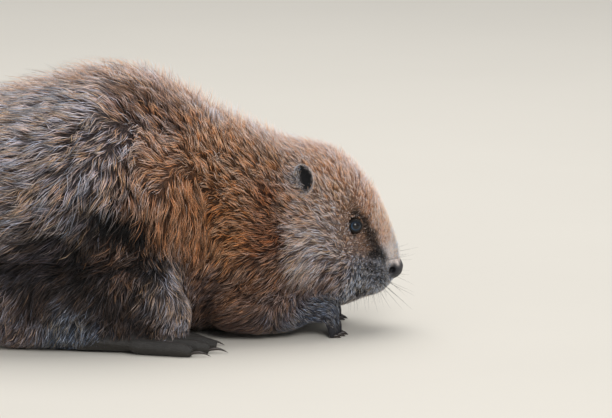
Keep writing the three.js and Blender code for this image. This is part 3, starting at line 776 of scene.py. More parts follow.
def rooted(chosen, thick, rng):
    """Tuft roots strewn evenly over the chosen triangles: the triangle of each and its place in it."""
    points, triangles = PELT["points"], PELT["triangles"][chosen]
    a, b, c = (points[triangles[:, i]] for i in range(3))
    area = np.linalg.norm(np.cross(b - a, c - a), axis=1) / 2 * 1e4
    total = np.cumsum(area * thick[triangles].mean(1))
    count = int(total[-1])
    ticks = (np.arange(count) + rng.random(count)) * (total[-1] / count)
    pick = np.searchsorted(total, ticks, side="right").clip(max=len(triangles) - 1)
    r, s = np.sqrt(rng.random(count)), rng.random(count)
    return np.nonzero(chosen)[0][pick], np.stack([1 - r, r * (1 - s), r * s], 1)


def held(name, row, share):
    """A measure of the skin at places in its triangles."""
    values = PELT[name][PELT["triangles"][row]]
    return (values * share.reshape(share.shape + (1,) * (values.ndim - 2))).sum(1)


def turned(way, normal, angle):
    """A way on the skin, turned on it by an angle."""
    return way * np.cos(angle)[:, None] + np.cross(normal, way) * np.sin(angle)[:, None]


def flat_on(vector, normal):
    """The part of a vector that lies on the skin, as a way."""
    return unit(vector - normal * (vector * normal).sum(1, keepdims=True))


def laid(start, normal, way, turn, reach, stand, steps):
    """Paths of `steps` lengths that run over the skin with the lie of the coat and rise to its depth."""
    points, normals = PELT["points"], PELT["normals"]
    spine, ups = [start - normal * 0.5 * MM], [normal]
    foot, ahead = start, turned(way, normal, turn)
    for k in range(1, steps + 1):
        foot = foot + ahead * (reach / steps)[:, None]
        near = nearest(PELT["tree"], foot)
        up = normals[near]
        foot = foot - up * ((foot - points[near]) * up).sum(1, keepdims=True)
        ahead = flat_on(ahead + turned(PELT["way"][near], up, turn), up)
        rise = (1 - (1 - k / steps) ** 1.7) * stand * PELT["depth"][near] * MM
        spine.append(foot + up * rise[:, None])
        ups.append(up)
    return np.stack(spine, 1), np.stack(ups, 1)


def strands(spine, ups, size, roll):
    """Rings of three points round each path, which taper to one point."""
    count, steps = len(spine), spine.shape[1] - 1
    tangent = unit(np.gradient(spine, axis=1))
    aside = unit(np.cross(tangent, ups))
    over = np.cross(aside, tangent)
    aside, over = aside * np.cos(roll) + over * np.sin(roll), over * np.cos(roll) - aside * np.sin(roll)
    taper = np.interp(np.arange(steps) / steps, *TAPER)
    rings = []
    for angle in CORNERS:
        ring = aside[:, :steps] * math.cos(angle) + over[:, :steps] * math.sin(angle) * FLATNESS
        rings.append(spine[:, :steps] + ring * size[:, None, None] * taper[None, :, None])
    points = np.concatenate([np.stack(rings, 2).reshape(count, steps * 3, 3), spine[:, steps:]], 1)
    points[:, :, 2] = np.maximum(points[:, :, 2], LOWEST)
    return points


def shaded(root, middle, tip, light, steps):
    """The colours of a strand's points, which run from root to middle to tip."""
    colours = []
    for k in [*(np.arange(steps) / steps), 1.0]:
        low, high = min(k / TIP_FROM, 1), max((k - TIP_FROM) / (1 - TIP_FROM), 0)
        shade = ((root * (1 - low) + middle * low) * (1 - high) + tip * high) * light
        colours.append((shade / np.maximum(shade.max(1, keepdims=True) / 0.95, 1)).clip(0.002))
    return np.stack([c for c in colours[:-1] for _ in range(3)] + [colours[-1]], 1)


def strand_faces(steps):
    """The faces of a strand, a closed root, three sides and a point, and where their corners lie on its patch."""
    last = steps * 3
    faces, flats = [(0, 2, 1)], [((0, 0), (0.5, 0.15), (1, 0))]
    for k in range(steps):
        for j in range(3):
            low, high = (k * 3 + j, k * 3 + (j + 1) % 3), ((k + 1) * 3 + j, (k + 1) * 3 + (j + 1) % 3)
            u, v = (j / 3, (j + 1) / 3), (k / steps, (k + 1) / steps)
            if k == steps - 1:
                faces.append((*low, last))
                flats.append(((u[0], v[0]), (u[1], v[0]), (sum(u) / 2, v[1])))
            else:
                faces += [(*low, high[1]), (low[0], high[1], high[0])]
                flats += [((u[0], v[0]), (u[1], v[0]), (u[1], v[1])), ((u[0], v[0]), (u[1], v[1]), (u[0], v[1]))]
    return np.array(faces), np.array(flats)


def tufts(chosen, thick, gather, layer, plan, rng):
    """One layer of the coat: points, faces, map and colours of its tufts."""
    steps = layer["steps"]
    row, share = rooted(chosen, thick, rng)
    count = len(row)
    start = held("points", row, share)
    normal = unit(held("normals", row, share))
    way = flat_on(held("way", row, share), normal)
    length = held("length", row, share) * MM * layer["length"] * plan.length
    depth = held("depth", row, share) * MM
    clumped, fringe = held("clumped", row, share), held("fringe", row, share)
    lead = rng.choice(count, max(count // max(round(layer["clump"] * gather), 2), 1), replace=False)
    flock = lead[nearest(tree_of(start[lead]), start)]

    def each(kind):
        """A random number for each tuft."""
        return rng.normal(size=count) * VARIETY[kind][1]

    def clump(kind):
        """A random number for each tuft, the same throughout its clump."""
        return (rng.normal(size=count) * VARIETY[kind][0])[flock]

    # How each tuft lies, how high it stands and how long it is.
    turn = (clump("turn") * clumped + each("turn")) * plan.unruly
    turn = turn + each("ruffle") * held("ruffled", row, share)
    loose = rng.random(count) < LOOSE
    turn = np.where(loose, turn + each("loose"), turn)
    stand = held("stand", row, share) * layer["stand"] * (1 + clump("stand") * clumped + each("stand")).clip(0.5, 1.4)
    stand = stand * (1 + layer["fringe"] * 0.3 * fringe)
    length = length * (1 + clump("length") + each("length")).clip(0.55, 1.4)
    reach = np.sqrt(np.maximum(length**2 - (depth * stand) ** 2, (0.3 * length) ** 2))
    spine, ups = laid(start, normal, way, turn, reach, stand, steps)
    bow = (each("bow") + clump("bow") * clumped) * plan.unruly
    for k in range(1, steps):
        spine[:, k] += np.cross(ups[:, k], way) * (bow * length * math.sin(math.pi * k / steps))[:, None]
    pull = layer["pull"] * clumped * (1 + each("pull")).clip(0.2, 1.5)
    for k in range(1, steps + 1):
        spine[:, k] += (spine[flock, k] - spine[:, k]) * (pull * (k / steps) ** 1.4)[:, None]
    ceiling, lowered = SOFT_CEILING
    spine[:, :, 2] -= lowered * (spine[:, :, 2] - ceiling).clip(0)
    roll = rng.uniform(-0.6, 0.6, count)[:, None, None]
    size = held("wide", row, share) * MM * layer["wide"] * plan.wide * (1 + each("wide")).clip(0.5, 1.6) / 2
    points = strands(spine, ups, size, roll)
    keep = np.ones(count, bool)
    for centre, clear in PELT["eyes"]:
        keep &= np.linalg.norm(points - centre, axis=2).min(1) > clear

    # Colours differ a little from tuft to tuft and from clump to clump.
    light = np.exp((clump("light") * clumped + each("light")) * layer["vary"]).clip(0.3, 1.7)
    under = held("under", row, share)
    # Along the crown and back the tufts are painted lighter and fewer are dark: painted rim light.
    light = light * (layer["light"] * (0.75 + 0.5 * under) * (1 + 0.16 * fringe) if layer["light"] else under)
    light = np.where(rng.random(count) < layer["dark"] * (1 - 0.7 * fringe), light * 0.3, light)
    pale = (layer["pale"] * (1 + each("pale") + clump("pale"))).clip(0, 1.5)
    warm = (each("warm") + clump("warm")).clip(-0.18, 0.3)
    glow = np.stack([1 + warm, np.ones(count), 1 - 1.3 * warm], 1)
    wander = (STRAY[0] + STRAY[1] * length) * np.where(rng.random(count) < FAR_STRAY[0], FAR_STRAY[1], 1)
    near = nearest(PELT["tree"], start + rng.normal(size=(count, 3)) * wander[:, None])
    root, middle, tip = (PELT[part][near] for part in ("root", "middle", "tip"))
    frost = np.where(rng.random(count) < layer["frost"], 0.7, 0)[:, None]
    middle = middle + (tip - middle) * frost
    tip = middle + (tip - middle) * pale[:, None]
    # Painted rim light pales the tips along the crown and back.
    tip = mixed(tip, RIM_LIGHT_TINT, (0.15 + 0.55 * layer["fringe"]) * fringe)
    colours = shaded(root, middle, tip, light[:, None] * glow, steps)

    # Each tuft's patch of the map lies at its root.
    points, colours, row, share = points[keep], colours[keep], row[keep], share[keep]
    faces, flats = strand_faces(steps)
    corner = (PELT["map"][row] * share[:, :, None]).sum(1).clip(TUFT_PATCH, 1 - TUFT_PATCH)
    flat = corner[:, None, None, :] + (flats[None] - 0.5) * TUFT_PATCH
    index = np.arange(len(points))[:, None, None] * points.shape[1] + faces[None]
    return points.reshape(-1, 3), index.reshape(-1, 3), flat.reshape(-1, 2), colours.reshape(-1, 3)


def build_coat(name, kinds, side, gather, plan, seed):
    """One piece of the coat, of three layers of tufts."""
    rng = np.random.default_rng(seed)
    kind = PELT["kind"][PELT["triangles"]]
    chosen = np.isin(np.sort(kind, axis=1)[:, 1], [KINDS.index(k) for k in kinds])
    if side:
        middle = PELT["points"][PELT["triangles"]][:, :, 1].mean(1)
        chosen &= (middle < 0) == (side < 0)
    made, start = [], 0
    for layer in LAYERS.values():
        thick = PELT["thick"] * layer["share"] * plan.thick * (1 + 6 * layer["fringe"] * PELT["fringe"])
        points, faces, flats, colours = tufts(chosen, thick, gather, layer, plan, rng)
        made.append((points, faces + start, flats, colours))
        start += len(points)
    points, faces, flats, colours = (np.concatenate(parts) for parts in zip(*made))
    if len(faces) >= MOST_TRIANGLES:
        raise RuntimeError(f"{name} has {len(faces)} triangles, and a piece has fewer than {MOST_TRIANGLES}")
    mesh = write(name, points, faces)
    if len(mesh.polygons) != len(faces):
        raise RuntimeError(f"{name} lost faces when it was made")
    mesh.uv_layers.new(name=BAKE_MAP).data.foreach_set("uv", flats.astype(np.float32).ravel())
    paint(mesh, "coat", colours)
    return mesh


# ------------------------------------------------------------------ eyes, lids and claws

def eye_of(side):
    """The centre, the radius and the gaze of an eye, from its solid."""
    low, high = (np.array(v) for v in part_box(f"eye_{side}"))
    return (low + high) / 2, (high - low).max() / 2, unit(np.array([0.26, SIDES[side] * 0.95, 0.12]))


def eye_axes(gaze):
    """Forward and up across the face of an eye."""
    ahead = unit(np.array([1.0, 0, 0]) - gaze * gaze[0])
    up = np.cross(gaze, ahead)
    return ahead, up * (1 if up[2] > 0 else -1)


def turned_ring(centre, axes, gaze, angles, bends, radii):
    """Points on a sphere: `angles` go round the gaze, `bends` lead away from it."""
    ahead, up = axes
    around = np.cos(angles)[..., None] * ahead + np.sin(angles)[..., None] * up
    return centre + radii[..., None] * (np.cos(bends)[..., None] * gaze + np.sin(bends)[..., None] * around)


def grid_faces(rings, around):
    """Triangles between closed rings of points, each ring as long as the others."""
    faces = []
    for i in range(rings - 1):
        for j in range(around):
            a, b = i * around + j, i * around + (j + 1) % around
            c, d = a + around, b + around
            faces += [(a, b, d), (a, d, c)]
    return np.array(faces)


def round_angles(around):
    return np.linspace(0, 2 * math.pi, around, endpoint=False)


def facing_out(points, faces, centre):
    """The faces, all turned round if most of them face the centre."""
    a, b, c = (points[faces[:, i]] for i in range(3))
    out = (np.cross(b - a, c - a) * (a - centre)).sum()
    return faces if out > 0 else faces[:, ::-1]


# The colours of the eye from the middle of its pupil outwards, in radians from the gaze; the blue-grey ring is a
# painted reflection of the sky.
IRIS = [
    (0.0, "#060404"), (0.38, "#0b0808"), (0.45, "#12141d"), (0.55, "#1c2b3c"),
    (0.64, "#345069"), (0.73, "#151d27"), (0.86, "#060709"),
]


def eyeball(side, around=56):
    """An eyeball that bulges at the cornea, painted with its pupil and iris and with a painted sky reflection in a
    blue-grey ring.
    """
    centre, radius, gaze = eye_of(side)
    bends = np.concatenate([np.linspace(0.004, 1.1, 44), np.linspace(1.2, math.pi - 0.004, 14)])
    bends, angles = np.meshgrid(bends, round_angles(around), indexing="ij")
    radii = radius * (1 + 0.035 * bell(bends / 0.5))
    points = turned_ring(centre, eye_axes(gaze), gaze, angles, bends, radii).reshape(-1, 3)
    mesh = write(f"eyeball_{side}", points, facing_out(points, grid_faces(len(bends), around), centre))
    bends, angles = bends.ravel(), angles.ravel()
    stops, shades = zip(*((stop, linear(colour)) for stop, colour in IRIS))
    colours = np.stack([np.interp(bends, stops, channel) for channel in np.array(shades).T], 1)
    lit = 0.12 + 1.1 * (0.5 - 0.5 * np.cos(angles - 0.9)) ** 1.5  # the ring's painted sky reflection, paler behind and below
    streak = 1 + 0.16 * np.sin(angles * 17) * np.sin(angles * 5 + 1)
    ring = bell((bends - 0.64) / 0.16)
    colours *= (1 + ring * (lit * streak - 1))[:, None]
    paint(mesh, "iris", colours)
    return mesh


LID_OPENING = (0.86, 0.64)  # how far the lids open, in radians from the gaze: forwards and back, up and down
LID_CURVE = 1.8  # how round the opening is: 1 has four corners and 2 is an ellipse
# Across the rim of a lid: how far from its edge, in radians, and how high over the eyeball, in millimetres.
LID_PROFILE = [
    (0, -0.3), (0, 0.3), (0.03, 0.62), (0.08, 0.85), (0.16, 0.95), (0.3, 0.85), (0.5, 0.5), (0.75, -0.2), (1.0, -1.6),
]
WET_ROWS = 6  # so many rows of the rim are bare and dark


def lids(side, around=60):
    """The rim of the lids: a rolled edge round an almond opening, which dives under the skin."""
    centre, radius, gaze = eye_of(side)
    angles = round_angles(around)
    shares = (np.abs(turn) / half for turn, half in zip((np.cos(angles), np.sin(angles)), LID_OPENING))
    opening = sum(share**LID_CURVE for share in shares) ** (-1 / LID_CURVE)
    opening *= 1 + 0.14 * bell(((angles + math.pi) % (2 * math.pi) - math.pi) / 0.3)  # the inner corner
    bend, lift = np.array(LID_PROFILE).T[:, :, None]
    bends = opening[None, :] + bend
    radii = radius + lift * MM * np.ones((1, around))
    points = turned_ring(centre, eye_axes(gaze), gaze, angles * np.ones_like(bends), bends, radii).reshape(-1, 3)
    return points, facing_out(points, grid_faces(len(bends), around), centre)


def claw(node, rings=10, around=12):
    """A curved, tapering claw from the root to the tip of its solid."""
    co, _ = read(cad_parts[node].data)
    behind = co[co[:, 0] < co[:, 0].min() + 0.4 * MM]
    root, tip = behind.mean(0), co[co[:, 0] > co[:, 0].max() - 0.4 * MM].mean(0)
    half = (behind[:, 1].max() - behind[:, 1].min()) / 2
    ahead = unit(tip - root)
    aside = unit(np.cross([0, 0, 1.0], ahead))
    up = np.cross(ahead, aside)
    length = np.linalg.norm(tip - root)
    t = np.linspace(-0.12, 1, rings)
    spine = root + ahead * (t * length)[:, None] + up * (length * 0.13 * np.sin(math.pi * t.clip(0, 1)))[:, None]
    size = half * 1.12 * (1 - t.clip(0, 1) ** 1.9).clip(0.02) ** 0.75
    angles = round_angles(around)
    ring = np.cos(angles)[None, :, None] * aside * 0.78 + np.sin(angles)[None, :, None] * up
    under = np.where(np.sin(angles) < -0.4, 0.72, 1.0)[None, :, None]
    points = (spine[:, None, :] + ring * size[:, None, None] * under).reshape(-1, 3)
    points = np.concatenate([points, spine[:1], spine[-1:]])
    here = np.arange(around)
    after, last, middle = (here + 1) % around, (rings - 1) * around, np.full(around, rings * around)
    ends = np.stack([middle, after, here], 1)
    tips = np.stack([middle + 1, last + here, last + after], 1)
    points[:, 2] = points[:, 2].clip(0.1 * MM)
    faces = np.concatenate([grid_faces(rings, around), ends, tips])
    return points, facing_out(points, faces, points.mean(0))


def joined(parts):
    """Several (points, faces) as one."""
    points, faces, start = [], [], 0
    for some, theirs in parts:
        points.append(some)
        faces.append(theirs + start)
        start += len(some)
    return np.concatenate(points), np.concatenate(faces)


# ------------------------------------------------------------------ what the skin carries

EYE_CLEARANCE = 0.6 * MM  # no tuft comes nearer an eyeball
# The bare hide of each kind of flesh that shows it.
HIDES = {"nose": "#2c2b31", "ear": "#5b5351", "hindfoot": "#35322f", "forepaw": "#242329", "tail": "#2b2826"}
# The first colour here is painted shade in the front of the ear's hollow.
EAR_HOLLOW_SHADE, LID_WET, LID_DRY, NOSE_PALE = "#09080a", "#0c0a0a", "#38281f", "#f0e0d8"
TRUNK = ("rump", "belly", "chest", "neck")  # flesh whose underside has a thinner coat


def is_kind(kind, *names):
    """1 at the points of these kinds of flesh and 0 elsewhere."""
    return np.isin(kind, [KINDS.index(name) for name in names]).astype(float)


def with_lids(points, triangles, kind, bare, depth):
    """The skin with the rims of the lids added to it, and 1 at their points and 0 at the others."""
    rim = np.zeros(len(points))
    for side in SIDES:
        some, faces = lids(side)
        triangles = np.concatenate([triangles, faces + len(points)])
        points = np.concatenate([points, some])
        kind = np.concatenate([kind, np.full(len(some), KINDS.index("nose"))])
        bare, depth, rim = (
            np.concatenate([values, np.full(len(some), value)])
            for values, value in ((bare, 1.0), (depth, 0.0), (rim, 1.0))
        )
    return points, triangles, kind, bare, depth, rim


def coat_measures(pairs, bare, depth, rim, ear, hollow, inside):
    """The depth, lie, colours, thickness and clumping of the coat at each point of the skin."""
    points, kind = PELT["points"], PELT["kind"]
    normals = normals_of(points, PELT["triangles"])
    fuzz = spread(is_kind(kind, "forepaw") * ((points[:, 2] - 11 * MM) / (8 * MM)).clip(0, 1), pairs, 2)
    depth = np.maximum.reduce([depth, 1.1 * ear, 1.1 * fuzz])
    made = groomed(points, normals, depth, pairs, ear)
    rows = np.array([THICKNESS.get(name, (0, 0.5, 0, 0.5)) for name in KINDS], float)
    thick, wide, clumped, light = rows[kind].T
    below = ((-normals[:, 2] - 0.6) / 0.3).clip(0, 1) * is_kind(kind, *TRUNK)
    thick = spread(thick, pairs, 2) * np.maximum(1 - bare, fuzz) * (1 - 0.6 * below)
    parting = ((hollow[:, 0] + 0.5) / 0.3).clip(0, 1) * (np.hypot(hollow[:, 0], hollow[:, 2]) < 0.9)
    made.update(
        normals=normals,
        depth=depth,
        thick=np.where(rim > 0, 0, thick) * (1 - inside * parting),
        wide=spread(wide, pairs, 4),
        clumped=spread(clumped, pairs, 6),
        under=spread(light, pairs, 6),
        ruffled=ear,
        # the top of the crown and back, where guard hairs grow thicker and painted rim light pales the coat
        fringe=bell(points[:, 1] / (26 * MM)) * (normals[:, 2] / 0.4).clip(0, 1),
        eyes=[(centre, radius + EYE_CLEARANCE) for centre, radius, _ in map(eye_of, SIDES)],
    )
    return made


def hide_colours(pairs, rim, hollow, inside):
    """The colours of the skin: those of the coat's roots, and its own where it is bare, with painted shade in the
    ear's hollow, the nostrils and the crease of the mouth.
    """
    points, kind = PELT["points"], PELT["kind"]
    hide = PELT["root"] * 0.75 + PELT["middle"] * 0.18
    for name, colour in HIDES.items():
        hide = mixed(hide, colour, spread(is_kind(kind, name), pairs, 3))
    # Painted shade darkens the front of the ear's hollow.
    across = np.hypot(hollow[:, 0], hollow[:, 2]) * (1 + 0.16 * ripple(points, 0.005, 21))
    front = inside * ((hollow[:, 0] + 0.6) / 0.5).clip(0, 1) * ((0.95 - across) / 0.12).clip(0, 1)
    hide = mixed(hide, EAR_HOLLOW_SHADE, front)
    hide = mixed(hide, NOSE_PALE, bell(along(points, NOSE_STRIPE) / (2.6 * MM)) * (rim == 0))
    # Painted shade darkens the nostril pits and the crease of the mouth.
    for name in ("nostril", "nostril_slit"):
        hide *= (1 - 0.93 * np.exp(-away(points, *SWELLS[name][:2]) * 0.8))[:, None]
    hide *= (1 - 0.7 * bell(along(points, CREASES["mouth"][0]) / (1.8 * MM)))[:, None]
    rows = np.array([linear(LID_WET if row < WET_ROWS else LID_DRY) for row in range(len(LID_PROFILE))])
    around = int(rim.sum()) // len(rows) // len(SIDES)
    hide[rim > 0] = np.tile(np.repeat(rows, around, axis=0), (len(SIDES), 1))
    return hide


def unwrapped(context, thing):
    """Lay the thing's faces out on the bake map, and give where each corner of each lies."""
    for other in context.selected_objects:
        other.select_set(False)
    thing.select_set(True)
    context.view_layer.objects.active = thing
    thing.data.uv_layers.new(name=BAKE_MAP)
    bpy.ops.object.mode_set(mode="EDIT")
    bpy.ops.mesh.select_all(action="SELECT")
    bpy.ops.uv.smart_project(angle_limit=math.radians(66), island_margin=0.002)
    bpy.ops.object.mode_set(mode="OBJECT")
    flat = np.empty(len(thing.data.loops) * 2, np.float32)
    thing.data.uv_layers[BAKE_MAP].data.foreach_get("uv", flat)
    return flat.reshape(-1, 3, 2).astype(float)


# ------------------------------------------------------------------ whiskers and tail scales

WHISKERS_END = 31 * MM  # no whisker reaches further ahead of the nose
SCALE_STEP = (6.4, 7.8)  # from one tail scale to the next, along and across the tail, in millimetres
SCALE_SIZE = (0.64, 0.6, 0.9)  # how long and wide a scale is, as shares of the step, and how thick, in millimetres
SCALE_MARGIN = 5 * MM  # how far the scales stop short of the rim of the tail
SCALE_SEARCH = 6 * MM  # how far from a point of the skin a scale may sit
SCALE_LOWEST = 1.8 * MM  # no scale sits nearer the floor


def nodes_of(name, inputs):
    """A geometry node tree with these named inputs, and its first and last nodes."""
    tree = bpy.data.node_groups.new(name, "GeometryNodeTree")
    tree.interface.new_socket("Geometry", in_out="INPUT", socket_type="NodeSocketGeometry")
    for label, (kind, value) in inputs.items():
        made = tree.interface.new_socket(label, in_out="INPUT", socket_type=kind)
        if value is not None:
            made.default_value = value
    tree.interface.new_socket("Geometry", in_out="OUTPUT", socket_type="NodeSocketGeometry")
    return tree, tree.nodes.new("NodeGroupInput"), tree.nodes.new("NodeGroupOutput")


def named(tree, name, kind="FLOAT"):
    return add(tree, "GeometryNodeInputNamedAttribute", values={"Name": name}, data_type=kind).outputs["Attribute"]


def aligned(tree, links, axis, pivot="AUTO"):
    """A turn that brings an axis to a vector."""
    turn = add(tree, "FunctionNodeAlignRotationToVector", links, axis=axis, pivot_axis=pivot)
    return turn.outputs["Rotation"]


def scattered(tree, first, last, shape, rotation, scale):
    """Set a shape on every point, make the copies real and give them the material."""
    links = {"Points": first.outputs["Geometry"], "Instance": shape, "Rotation": rotation, "Scale": scale}
    copies = add(tree, "GeometryNodeInstanceOnPoints", links)
    real = add(tree, "GeometryNodeRealizeInstances", {"Geometry": copies.outputs["Instances"]})
    links = {"Geometry": real.outputs["Geometry"], "Material": first.outputs["Material"]}
    done = add(tree, "GeometryNodeSetMaterial", links)
    tree.links.new(done.outputs["Geometry"], last.inputs["Geometry"])


def whisker_tree():
    """A curved, tapering whisker on every point, turned to its way and as long and thick as the point says."""
    sizes = {
        "Material": ("NodeSocketMaterial", None),
        "Droop": ("NodeSocketFloat", 0.12),
        "Sides": ("NodeSocketInt", 4),
    }
    tree, first, last = nodes_of("whiskers", sizes)
    sag = add(tree, "ShaderNodeCombineXYZ", {"X": first.outputs["Droop"]}, {"Z": 0.55})
    ends = {"Resolution": 6, "Start": (0, 0, 0), "End": (0, 0, 1)}
    curve = add(tree, "GeometryNodeCurveQuadraticBezier", {"Middle": sag.outputs["Vector"]}, ends)
    thin = mapped(tree, add(tree, "GeometryNodeSplineParameter").outputs["Factor"], 1.0, 0.12)
    ring = add(tree, "GeometryNodeCurvePrimitiveCircle", {"Resolution": first.outputs["Sides"]}, {"Radius": 0.5})
    links = {"Curve": curve.outputs["Curve"], "Profile Curve": ring.outputs["Curve"], "Scale": thin}
    tube = add(tree, "GeometryNodeCurveToMesh", links, {"Fill Caps": True})
    turn = aligned(tree, {"Vector": named(tree, "heading", "FLOAT_VECTOR")}, "Z")
    links = {"X": named(tree, "thick"), "Y": named(tree, "thick"), "Z": named(tree, "long")}
    size = add(tree, "ShaderNodeCombineXYZ", links)
    scattered(tree, first, last, tube.outputs["Mesh"], turn, size.outputs["Vector"])
    return tree


def scale_tree():
    """A low, six-sided scale on every point, standing on the skin and turned along the tail."""
    sizes = {
        "Material": ("NodeSocketMaterial", None),
        "Sides": ("NodeSocketInt", 6),
        "Bevel": ("NodeSocketFloat", 0.86),
    }
    tree, first, last = nodes_of("tail_scales", sizes)
    values = {"Side Segments": 1, "Fill Segments": 1, "Radius Bottom": 1.0, "Depth": 1.0}
    links = {"Vertices": first.outputs["Sides"], "Radius Top": first.outputs["Bevel"]}
    plate = add(tree, "GeometryNodeMeshCone", links, values)
    up = aligned(tree, {"Vector": named(tree, "up", "FLOAT_VECTOR")}, "Z")
    turn = aligned(tree, {"Rotation": up, "Vector": named(tree, "heading", "FLOAT_VECTOR")}, "X", "Z")
    scattered(tree, first, last, plate.outputs["Mesh"], turn, named(tree, "size", "FLOAT_VECTOR"))
    return tree


def dotted(name, points, vectors, floats, tree, material):
    """The mesh that a node tree makes of points that carry these vectors and numbers."""
    mesh = bpy.data.meshes.new(name)
    mesh.from_pydata(points.tolist(), [], [])
    for key, values in vectors.items():
        layer = mesh.attributes.new(key, "FLOAT_VECTOR", "POINT")
        layer.data.foreach_set("vector", np.asarray(values, np.float32).ravel())
    for key, values in floats.items():
        measure(mesh, key, values)
    thing = place(name, mesh)
    made = thing.modifiers.new(name, "NODES")
    made.node_group = tree
    made[next(item.identifier for item in tree.interface.items_tree if item.name == "Material")] = material
    result = evaluated(thing)
    forget(thing)
    result.shade_smooth()
    return result


def whiskers(side):
    """The roots of the whiskers of one side, with the way, length and thickness of each."""
    rng = np.random.default_rng(40 + SIDES[side])
    roots, ways, longs, thicks = [], [], [], []
    mirror = np.array([1, SIDES[side], 1])
    for row in WHISKERS:
        way, end, long, thick = row[3:]
        for t, root in zip(np.linspace(0, 1, row[2]), whisker_roots(row)):
            root = at(*root) * mirror
            near = nearest(PELT["tree"], root[None])[0]
            normal = PELT["normals"][near]
            roots.append(PELT["points"][near] - normal * MM)
            along_row = np.array(way) * (1 - t) + np.array(end) * t
            ways.append(unit(along_row * mirror + rng.normal(size=3) * 0.09 + normal * 0.15))
            longs.append(long * rng.uniform(0.7, 1.08) * MM)
            thicks.append(thick * rng.uniform(0.85, 1.1) * MM)
    roots, ways = np.array(roots), np.array(ways)
    reach = (NOSE_X * MM + WHISKERS_END - roots[:, 0]) / ways[:, 0].clip(1e-3)
    return roots, ways, np.minimum(longs, reach), np.array(thicks)


def edge_of(points):
    """How wide the tail is along its length: places along it and half its width there."""
    cells = np.linspace(points[:, 0].min(), points[:, 0].max(), 40)
    half = [np.abs(points[np.abs(points[:, 0] - x) < 5 * MM, 1]).max() for x in cells]
    return cells, np.array(half)


def tail_points():
    """Where the scales of the tail sit, above and below, with the way up and along and the size of each."""
    skin = np.nonzero(PELT["kind"] == KINDS.index("tail"))[0]
    points, normals = PELT["points"][skin], PELT["normals"][skin]
    rng = np.random.default_rng(50)
    low, high = points.min(0), points.max(0)
    along_step, across_step = (step * MM for step in SCALE_STEP)
    spots = []
    for i, x in enumerate(np.arange(low[0] + SCALE_MARGIN, high[0], along_step)):
        for y in np.arange(low[1], high[1], across_step):
            spots.append((x, y + (across_step / 2 if i % 2 else 0), 0))
    spots = np.array(spots) + rng.normal(size=(len(spots), 3)) * [0.3 * MM, 0.35 * MM, 0]
    roots, ups, sizes = [], [], []
    for face in (1, -1):
        ours = np.nonzero(normals[:, 2] * face > 0.25)[0]
        tree = tree_of(points[ours] * [1, 1, 0])
        near = ours[nearest(tree, spots)]
        off = (spots - points[near])[:, :2]
        close = (np.linalg.norm(off, axis=1) < SCALE_SEARCH) & (np.abs(normals[near][:, 2]) > 0.75)
        close &= np.abs(spots[:, 1]) < np.interp(spots[:, 0], *edge_of(points)) - SCALE_MARGIN
        slope = ((normals[near][:, :2] * off).sum(1) / normals[near][:, 2]).clip(-MM, MM)
        level = np.maximum(points[near][:, 2] - slope, SCALE_LOWEST)
        roots.append(np.concatenate([spots[close][:, :2], level[close, None]], 1))
        ups.append(unit(normals[near[close]] + [0, 0, 1.5 * face]))
    roots, ups = np.concatenate(roots), np.concatenate(ups)
    size = np.array([along_step, across_step, MM]) * SCALE_SIZE * rng.uniform(0.9, 1.05, (len(roots), 1))
    return roots - ups * 0.5 * MM, ups, np.tile([-1.0, 0, 0], (len(roots), 1)), size


# ------------------------------------------------------------------ finishes

def finish(name, **values):
    """A new material with a principled shader that has these values, and its node tree."""
    material = bpy.data.materials.new(name)
    material.use_nodes = True
    tree = material.node_tree
    tree.nodes.clear()
    end = tree.nodes.new("ShaderNodeOutputMaterial")
    shader = tree.nodes.new("ShaderNodeBsdfPrincipled")
    tree.links.new(shader.outputs["BSDF"], end.inputs["Surface"])
    for key, value in values.items():
        shader.inputs[key.replace("_", " ").title().replace("Ior", "IOR")].default_value = value
    return material, tree, shader


def add(tree, kind, links=(), values=(), **settings):
    """A new node with these settings, values of its inputs and links to them."""
    made = tree.nodes.new(kind)
    for key, value in settings.items():
        setattr(made, key, value)
    for key, value in dict(values).items():
        made.inputs[key].default_value = value
    for key, source in dict(links).items():
        tree.links.new(source, made.inputs[key])
    return made


def attribute(tree, name, output="Color"):
    return add(tree, "ShaderNodeAttribute", attribute_name=name).outputs[output]


def coords(tree):
    return add(tree, "ShaderNodeTexCoord").outputs["Object"]


def mapped(tree, value, low, high, source=(0.0, 1.0)):
    """A value brought from one range to another."""
    values = {"From Min": source[0], "From Max": source[1], "To Min": low, "To Max": high}
    return add(tree, "ShaderNodeMapRange", {"Value": value}, values).outputs["Result"]


def multiply(tree, colour, value):
    """The colour times a value."""
    mix = add(tree, "ShaderNodeMix", {6: colour, 7: value}, {0: 1.0}, data_type="RGBA", blend_type="MULTIPLY")
    return mix.outputs[2]


def noise(tree, scale, detail):
    values = {"Scale": scale, "Detail": detail, "Roughness": 0.55}
    return add(tree, "ShaderNodeTexNoise", {"Vector": coords(tree)}, values).outputs["Fac"]


def bump(tree, shader, height, strength, distance):
    node = add(tree, "ShaderNodeBump", {"Height": height}, {"Strength": strength, "Distance": distance})
    tree.links.new(node.outputs["Normal"], shader.inputs["Normal"])


def mottled(tree, shader, colour, scale, detail, low, high):
    """Give a shader a colour, plain or from a socket, that noise makes darker and lighter."""
    if isinstance(colour, str):
        base = add(tree, "ShaderNodeRGB")
        base.outputs[0].default_value = (*linear(colour), 1)
        colour = base.outputs[0]
    tone = mapped(tree, noise(tree, scale, detail), low, high)
    tree.links.new(multiply(tree, colour, tone), shader.inputs["Base Color"])


def coat_finish():
    material, tree, shader = finish(
        "fur", roughness=0.5, specular_ior_level=0.3, sheen_weight=0.04, sheen_roughness=0.35
    )
    mottled(tree, shader, attribute(tree, "coat"), 700.0, 2.0, 0.86, 1.12)
    return material


